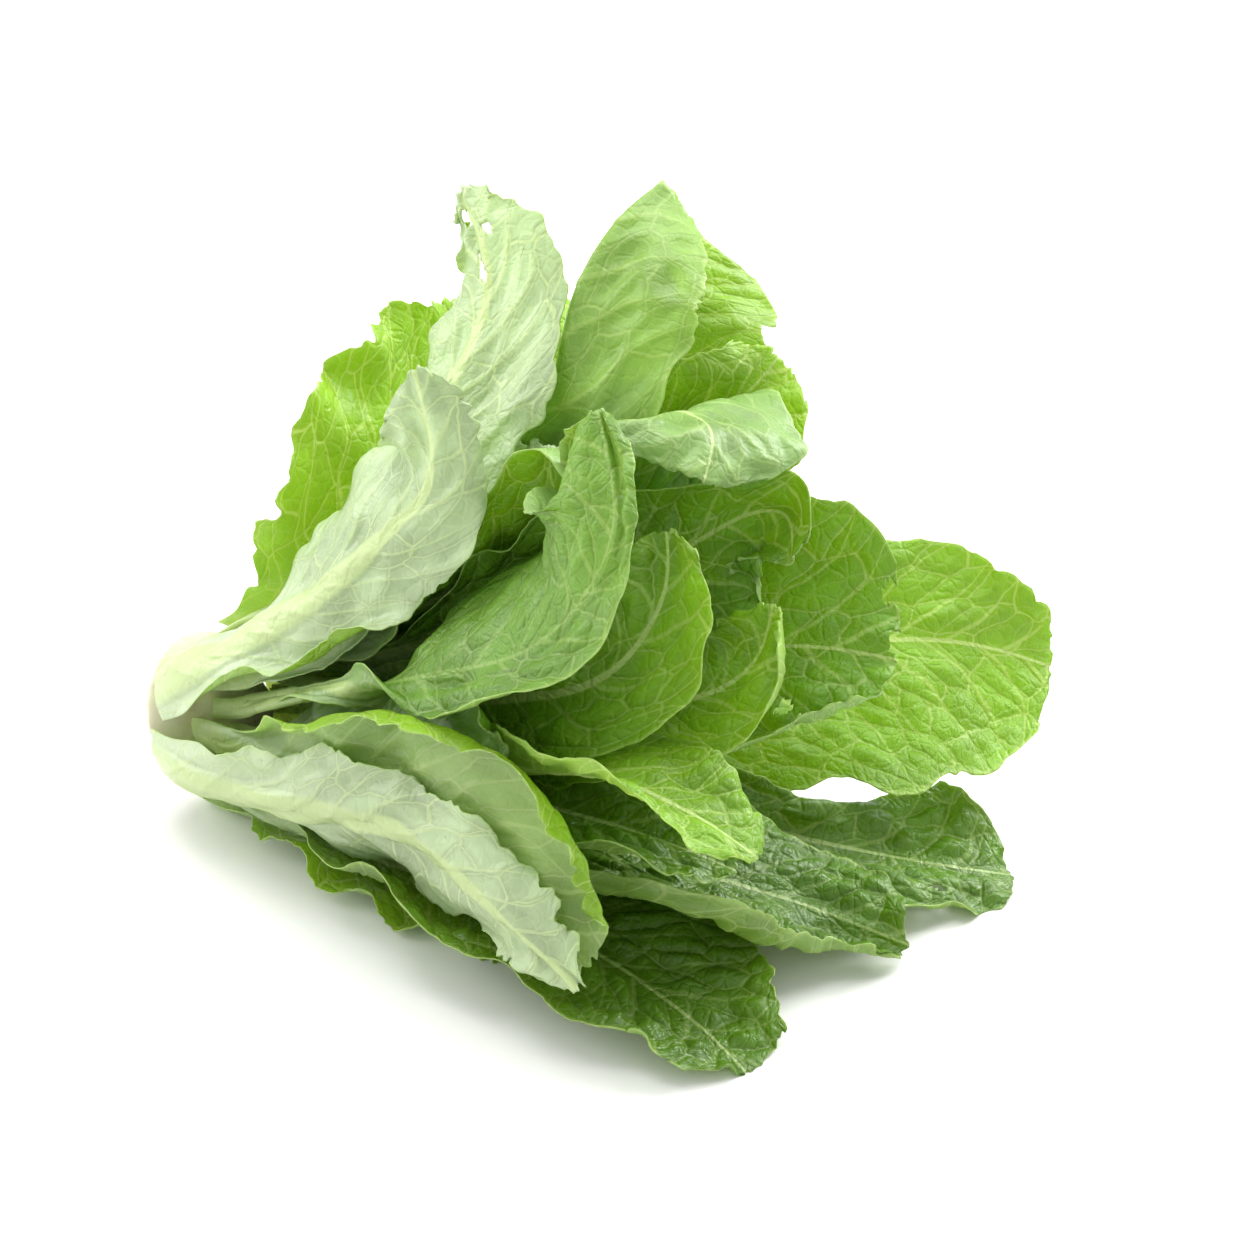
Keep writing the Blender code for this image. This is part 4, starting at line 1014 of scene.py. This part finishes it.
class LettuceColours(bpy.types.PropertyGroup):
    """Colours of the leaves, the stem and the floor."""
    # The lime is the young leaves' own colour; on the outer back-lit leaves it also paints the glow of the
    # light coming through them.
    lime: colour("Lime blade", "Inner side of the young and back-lit leaves", (0.35, 0.58, 0.045))
    green: colour("Green blade", "Inner side of the opened leaves", (0.165, 0.37, 0.018))
    dark: colour("Dark blade", "Inner side of the low blistered leaves", (0.105, 0.245, 0.010))
    pale: colour("Pale side", "Outer side of the outer leaves", (0.60, 0.745, 0.43))
    rib: colour("Rib", "Midribs", (0.68, 0.82, 0.34))
    stem: colour("Stem", "Cut stem", (0.74, 0.72, 0.50))
    floor: colour("Floor", "The surface below the head", (0.9, 0.9, 0.89))


def tuned(colour, factor):
    return tuple(min(1.0, channel * factor) for channel in colour)


def blended(first, second, share):
    return tuple(a * (1 - share) + b * share for a, b in zip(first, second))


WHITE = (0.82, 0.89, 0.70)  # the leaves' feet
THROUGH = dict(through=(0.62, 0.86, 0.05), through_vein=(0.86, 0.94, 0.40), through_rib=(0.70, 0.76, 0.28))


def leaf_kinds(colours, sizes):
    """What each kind of leaf skin looks like on its two sides."""
    lime, green, dark = tuple(colours.lime), tuple(colours.green), tuple(colours.dark)
    pale, rib = tuple(colours.pale), tuple(colours.rib)

    # veins, vein: how much the veins show, and how near the rib's colour they come. rough: the skin's
    # roughness. thin: how much light comes through. rib_share: how much of the blade's colour the rib
    # takes. dip: how dark the painted shade in the dents between the blisters is. base_to, base_share:
    # how far along the leaf its foot's white goes, and how white. rib_wide: the rib's half-width. coat: its
    # wax. rim: how strongly the margin takes a painted rim highlight.
    def side(blade, veins, rough, thin, rib_share, vein=0.4, dip=0.25, base_to=0.4, base_share=0.55,
             rib_wide=5.0, coat=0.3, rim=0.45):
        # The rim colour is the painted highlight along the margin, a lighter, yellower green.
        rim_blade = blended(blade, lime, 0.5)
        # low is the blade darkened for the painted shade in the dents between the blisters.
        return dict(blade=blade, deep=tuned(blade, 0.72), low=tuned(blade, 0.6),
                    vein=blended(blade, rib, vein), rib=blended(rib, blade, rib_share),
                    base=blended(blade, WHITE, base_share),
                    rim=blended(rim_blade, rib, rim), veins=veins, dip=dip, base_to=base_to, rough=rough,
                    coat=coat, thin=thin, rib_wide=rib_wide)

    def kind(spacing, cell, swell, ridge, slope, narrowing, inner, outer):
        return dict(spacing=spacing, cell=cell, swell=swell * sizes.swell, ridge=ridge, slope=slope,
                    narrowing=narrowing, inner=inner, outer=outer, **THROUGH)

    green_lime = blended(green, lime, 0.5)
    dark_back = blended(dark, blended(lime, pale, 0.4), 0.45)
    return {
        "pale": kind(spacing=17.0, cell=10.0, swell=0.9, ridge=0.4, slope=2.6, narrowing=1.1,
                     inner=side(blended(lime, pale, 0.2), 0.8, 0.30, 0.42, 0.2),
                     outer=side(pale, 0.75, 0.24, 0.22, 0.35, 0.5, 0.6, 0.6, 0.5, 8.0, rim=0.1)),
        # The lime skin is partly the young leaves' own colour and partly painted glow of the back light.
        "lime": kind(spacing=17.0, cell=11.0, swell=1.2, ridge=0.3, slope=1.7, narrowing=1.5,
                     inner=side(lime, 0.85, 0.30, 0.46, 0.2, 0.5),
                     outer=side(blended(lime, pale, 0.45), 0.7, 0.30, 0.36, 0.1, 0.4, 0.3, 0.5, 0.6, 6.0)),
        "green": kind(spacing=18.0, cell=11.5, swell=1.9, ridge=0.3, slope=1.6, narrowing=1.8,
                      inner=side(green, 0.7, 0.28, 0.34, 0.3, 0.38, 0.45, coat=0.1, rim=0.65),
                      outer=side(blended(green, pale, 0.28), 0.6, 0.30, 0.3, 0.2, 0.35, 0.3, 0.5, 0.5,
                                 6.0, 0.15)),
        "folded": kind(spacing=18.0, cell=11.5, swell=1.5, ridge=0.3, slope=1.6, narrowing=2.6,
                       inner=side(blended(green, pale, 0.08), 0.5, 0.26, 0.3, 0.75, 0.34, 0.35, 0.25, 0.3,
                                  1.6, 0.15),
                       outer=side(blended(green, pale, 0.35), 0.6, 0.28, 0.3, 0.3, 0.4, 0.2, 0.4, 0.4, 4.0)),
        "top": kind(spacing=20.0, cell=14.0, swell=1.6, ridge=0.35, slope=1.7, narrowing=1.6,
                    inner=side(lime, 0.85, 0.30, 0.5, 0.2, 0.5),
                    outer=side(blended(green_lime, pale, 0.18), 0.5, 0.28, 0.34, 0.15, 0.34, 0.35, 0.35,
                               0.5, 3.5, rim=0.8)),
        "dark": kind(spacing=16.0, cell=10.0, swell=2.7, ridge=0.25, slope=1.5, narrowing=1.8,
                     inner=side(dark, 0.6, 0.24, 0.22, 0.45, 0.28, 0.4, coat=0.12),
                     outer=side(dark_back, 0.6, 0.30, 0.3, 0.3, 0.4, 0.25, 0.5, 0.5, 6.0)),
        "heart": kind(spacing=17.0, cell=10.5, swell=1.7, ridge=0.3, slope=1.8, narrowing=1.5,
                      inner=side(blended(green, lime, 0.3), 0.7, 0.30, 0.38, 0.2, 0.38, 0.4, coat=0.1,
                                 rim=0.7),
                      outer=side(blended(lime, pale, 0.18), 0.6, 0.30, 0.38, 0.1, 0.4, coat=0.1)),
    }


LAID_OUT = {}


def laid_out():
    """The eased sheets of all leaves, their thickness, and the shift that centres the head."""
    if not LAID_OUT:
        thick = [thickness(row, order) for order, row in enumerate(LEAVES)]
        grids = ease(thick)
        LAID_OUT.update(grids=grids, thick=thick, middle=centre_shift(grids))
    return LAID_OUT


def dressed_materials(context):
    """The skin materials and relief nodes of every kind of leaf, made once."""
    if "kinds" not in LAID_OUT:
        kinds = leaf_kinds(context.scene.lettuce_colours, context.scene.lettuce_sizes)
        for name, kind in kinds.items():
            kind["skins"] = (leaf_material(name + "_inner_skin", kind, True),
                             leaf_material(name + "_outer_skin", kind, False))
            kind["relief"] = relief_tree(name + "_relief", kind)
        LAID_OUT["kinds"] = kinds
    return LAID_OUT["kinds"]


def add_leaf(context, name):
    """One leaf in place of its solid."""
    sizes = context.scene.lettuce_sizes
    layout, kinds = laid_out(), dressed_materials(context)
    order = [row["name"] for row in LEAVES].index(name)
    row, grid = LEAVES[order], layout["grids"][order] - layout["middle"]
    skin, teeth, frill = DRESS[name]
    kind = kinds[skin]
    values = dict(teeth=teeth * sizes.teeth, frill=frill * sizes.frill, blade=sizes.blade / MM)
    inner, outer, up, keep, across, along, share, rib_reach = dressed_leaf(row, order, grid,
                                                                           layout["thick"][order], values)
    outer[..., 2] = np.maximum(outer[..., 2], LOWEST)
    inner[..., 2] = np.maximum(inner[..., 2], LOWEST_INNER)
    mesh, owner, is_inner, faces = shell_mesh(name.replace("leaf_", "romaine_"), inner, outer, keep)
    flat = np.stack([across.ravel(), along.ravel()], axis=1) / 100
    shares = np.stack([np.repeat(ACROSS_LEAF[None, :], FINE_ROWS, 0).ravel(),
                       np.repeat(ALONG[:, None] + 2 * order, FINE_COLUMNS, 1).ravel()], axis=1)
    give_map(mesh, "flat", flat, faces, owner)
    give_map(mesh, "share", shares, faces, owner)
    give_points(mesh, "up", "FLOAT_VECTOR", up.reshape(-1, 3)[owner])
    give_points(mesh, "inner", "FLOAT", is_inner.astype(float))
    give_points(mesh, "rib", "FLOAT", np.repeat(rib_reach, FINE_COLUMNS, 1).ravel()[owner])
    leaf = bpy.data.objects.new(mesh.name, mesh)
    context.scene.collection.objects.link(leaf)
    for skin_material in kind["skins"]:
        mesh.materials.append(skin_material)
    relief = leaf.modifiers.new("relief", "NODES")
    relief.node_group = kind["relief"]
    graph = context.evaluated_depsgraph_get()
    finished = bpy.data.meshes.new_from_object(leaf.evaluated_get(graph))
    leaf.modifiers.clear()
    leaf.data = finished
    for vertex in finished.vertices:
        vertex.co.z = max(vertex.co.z, LOWEST * MM)
    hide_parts(name)
    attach(leaf, "root")


def add_leaves(context, names):
    for name in names:
        add_leaf(context, name)
    return {"FINISHED"}


DRIED = (0.45, 0.25, 0.10)
FRESH_CUT = (0.85, 0.86, 0.70)


def stem_material(colours):
    """Pale cut tissue with blotches of a drier colour and a fine, fresher grain."""
    made, tree, skin = plain_material("cut_stem")
    place = Value(node(tree, "ShaderNodeTexCoord").outputs["Object"])
    blotch = value(tree, "ShaderNodeTexNoise", {"Vector": place, "Scale": 90.0, "Detail": 4.0})
    grain = value(tree, "ShaderNodeTexNoise", {"Vector": place, "Scale": 900.0, "Detail": 3.0})
    tone = mixed(blotch.ramp(0.35, 0.7), tuple(colours.stem), blended(colours.stem, DRIED, 0.35))
    feed(skin["Base Color"], mixed(grain.ramp(0.55, 0.75, 0.0, 0.4), tone, FRESH_CUT))
    feed(skin["Roughness"], grain.ramp(0.2, 0.8, 0.35, 0.6))
    feed(skin["Normal"], value(tree, "ShaderNodeBump", {"Strength": 0.5, "Distance": 0.0005,
                                                        "Height": blotch + grain * 0.4}))
    return made


def add_stem(context):
    """The stem that the leaves grow from, with its cut face outwards."""
    layout = laid_out()
    rings, steps = STEM_RINGS, STEM_SIDES
    rng = np.random.default_rng(STEM_SEED)
    profile = [(0.0, -CORE_DOME), (CORE_RADIUS * 0.55, -CORE_DOME * 0.8), (CORE_RADIUS * 0.88, -0.6),
               (CORE_RADIUS, 1.0), (CORE_TIP_RADIUS, CORE_LENGTH - 1.5), (CORE_TIP_RADIUS * 0.6, CORE_LENGTH)]
    radii, places = np.array(profile).T
    walk = np.concatenate([[0.0], np.cumsum(np.hypot(np.diff(radii), np.diff(places)))])
    at = np.linspace(0.02 * walk[-1], walk[-1], rings)
    radius, place = np.interp(at, walk, radii), np.interp(at, walk, places)
    turn = np.linspace(0, 2 * math.pi, steps, endpoint=False)
    wave = sum(rng.uniform(-1, 1) / k * np.sin(k * turn + rng.uniform(0, 6)) for k in range(2, 9))
    points, faces = [], []
    for r, x in zip(radius, place):
        scarred = r * (1 + 0.012 * wave) + 0.12 * rng.normal(size=steps)
        dent = 0.25 * rng.normal(size=steps) * (x < 1)
        for k in range(steps):
            out = math.cos(turn[k]) * CLOCK_TOP + math.sin(turn[k]) * CLOCK_FAR
            points.append((STEM + AXIS * (x + dent[k]) + out * scarred[k] - layout["middle"]) * MM)
    for ring in range(rings - 1):
        for k in range(steps):
            a, b = ring * steps + k, ring * steps + (k + 1) % steps
            faces.append((a, b, b + steps, a + steps))
    first, last = len(points), len(points) + 1
    points += [(STEM - AXIS * CORE_DOME - layout["middle"]) * MM,
               (STEM + AXIS * (CORE_LENGTH + 0.8) - layout["middle"]) * MM]
    for k in range(steps):
        faces.append((first, (k + 1) % steps, k))
        top = (rings - 1) * steps
        faces.append((last, top + k, top + (k + 1) % steps))
    mesh = bpy.data.meshes.new("cut_stem")
    mesh.from_pydata([tuple(p) for p in points], [], faces)
    for polygon in mesh.polygons:
        polygon.use_smooth = True
    mesh.materials.append(stem_material(context.scene.lettuce_colours))
    stem = bpy.data.objects.new("cut_stem", mesh)
    context.scene.collection.objects.link(stem)
    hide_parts("stem_core")
    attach(stem, "root")


def add_light(context, name, power, size, spot, target):
    data = bpy.data.lights.new(name, "AREA")
    data.energy = power
    data.size = size
    light = bpy.data.objects.new(name, data)
    light.location = spot
    light.rotation_euler = (Vector(spot) - Vector(target)).to_track_quat("Z", "Y").to_euler()
    context.scene.collection.objects.link(light)


CAMERA_FAR = 838.0  # from the point that it looks at
LOOK_AT = (129.0, 25.7, 60.0)  # across, upward and toward, from the middle of the cut
LENS, SENSOR = 85.0, 36.0
FLOOR_SIZE = 6.0  # half its side, in metres
SKY = 0.75  # strength of the even light all round


def add_stage(context):
    """The pale floor, the soft light and the camera."""
    scene = context.scene
    mesh = bpy.data.meshes.new("floor")
    corners = [(x * FLOOR_SIZE, y * FLOOR_SIZE, 0) for x, y in ((-1, -1), (1, -1), (1, 1), (-1, 1))]
    mesh.from_pydata(corners, [], [(0, 1, 2, 3)])
    paint, _, skin = plain_material("floor")
    feed(skin["Base Color"], (*scene.lettuce_colours.floor, 1.0))
    feed(skin["Roughness"], 0.6)
    mesh.materials.append(paint)
    floor = bpy.data.objects.new("floor", mesh)
    scene.collection.objects.link(floor)
    middle = laid_out()["middle"]
    target = (STEM - middle + LOOK_AT[0] * ACROSS + LOOK_AT[1] * UPWARD + LOOK_AT[2] * TOWARD) * MM
    data = bpy.data.cameras.new("photo_view")
    data.lens = LENS
    data.sensor_width = SENSOR
    camera = bpy.data.objects.new("photo_view", data)
    camera.location = Vector(target + TOWARD * CAMERA_FAR * MM)
    camera.rotation_euler = Vector(TOWARD).to_track_quat("Z", "Y").to_euler()
    scene.collection.objects.link(camera)
    scene.camera = camera
    world = bpy.data.worlds.new("soft_white")
    world.use_nodes = True
    sky = world.node_tree.nodes["Background"].inputs
    sky[0].default_value = (1.0, 1.0, 1.0, 1.0)
    sky[1].default_value = SKY
    scene.world = world
    add_light(context, "top_softbox", 16.0, 1.1, (-0.25, 0.25, 1.25), (0, 0, 0.08))
    add_light(context, "back_softbox", 20.0, 0.8, (0.35, 1.1, 0.75), (0, 0, 0.1))
    add_light(context, "left_softbox", 6.0, 0.7, (-1.0, -0.35, 0.6), (0, 0, 0.1))
    scene.view_settings.view_transform = "Standard"


class LETTUCE_OT_stem(bpy.types.Operator):
    """Add the cut stem"""
    bl_idname = "lettuce.add_stem"
    bl_label = "Cut stem"

    def execute(self, context):
        add_stem(context)
        return {"FINISHED"}


class LETTUCE_OT_near_leaves(bpy.types.Operator):
    """Add the leaves on the near side, which show their pale backs"""
    bl_idname = "lettuce.add_near_leaves"
    bl_label = "Near leaves"

    def execute(self, context):
        return add_leaves(context, NEAR_LEAVES)


class LETTUCE_OT_upper_leaves(bpy.types.Operator):
    """Add the leaves at the top, folded and torn ones among them"""
    bl_idname = "lettuce.add_upper_leaves"
    bl_label = "Upper leaves"

    def execute(self, context):
        return add_leaves(context, UPPER_LEAVES)


class LETTUCE_OT_far_leaves(bpy.types.Operator):
    """Add the opened leaves of the far side and those that lie on the surface"""
    bl_idname = "lettuce.add_far_leaves"
    bl_label = "Far leaves"

    def execute(self, context):
        return add_leaves(context, FAR_LEAVES)


class LETTUCE_OT_heart_leaves(bpy.types.Operator):
    """Add the cupped leaves of the heart"""
    bl_idname = "lettuce.add_heart_leaves"
    bl_label = "Heart leaves"

    def execute(self, context):
        return add_leaves(context, HEART_LEAVES)


class LETTUCE_OT_stage(bpy.types.Operator):
    """Add the floor, the lights and the camera"""
    bl_idname = "lettuce.add_stage"
    bl_label = "Stage"

    def execute(self, context):
        add_stage(context)
        return {"FINISHED"}


STEPS = (LETTUCE_OT_stem, LETTUCE_OT_near_leaves, LETTUCE_OT_upper_leaves, LETTUCE_OT_far_leaves,
         LETTUCE_OT_heart_leaves, LETTUCE_OT_stage)


class LETTUCE_PT_panel(bpy.types.Panel):
    """The pieces of the lettuce head, with their sizes and colours"""
    bl_idname = "LETTUCE_PT_panel"
    bl_label = "Romaine lettuce"
    bl_space_type = "VIEW_3D"
    bl_region_type = "UI"
    bl_category = "Lettuce"

    def draw(self, context):
        for step in STEPS:
            self.layout.operator(step.bl_idname)
        for group in (context.scene.lettuce_sizes, context.scene.lettuce_colours):
            for key in group.bl_rna.properties.keys():
                if key not in ("rna_type", "name"):
                    self.layout.prop(group, key)


CLASSES = (LettuceSizes, LettuceColours) + STEPS + (LETTUCE_PT_panel,)


def register():
    for made in CLASSES:
        bpy.utils.register_class(made)
    bpy.types.Scene.lettuce_sizes = PointerProperty(type=LettuceSizes)
    bpy.types.Scene.lettuce_colours = PointerProperty(type=LettuceColours)


def unregister():
    del bpy.types.Scene.lettuce_colours
    del bpy.types.Scene.lettuce_sizes
    for made in reversed(CLASSES):
        bpy.utils.unregister_class(made)


def plain(box):
    return [[float(value) for value in corner] for corner in box]


def main():
    register()
    bpy.ops.lettuce.add_stem()
    bpy.ops.lettuce.add_near_leaves()
    bpy.ops.lettuce.add_upper_leaves()
    bpy.ops.lettuce.add_far_leaves()
    bpy.ops.lettuce.add_heart_leaves()
    bpy.ops.lettuce.add_stage()


if __name__ == "__main__":
    main()
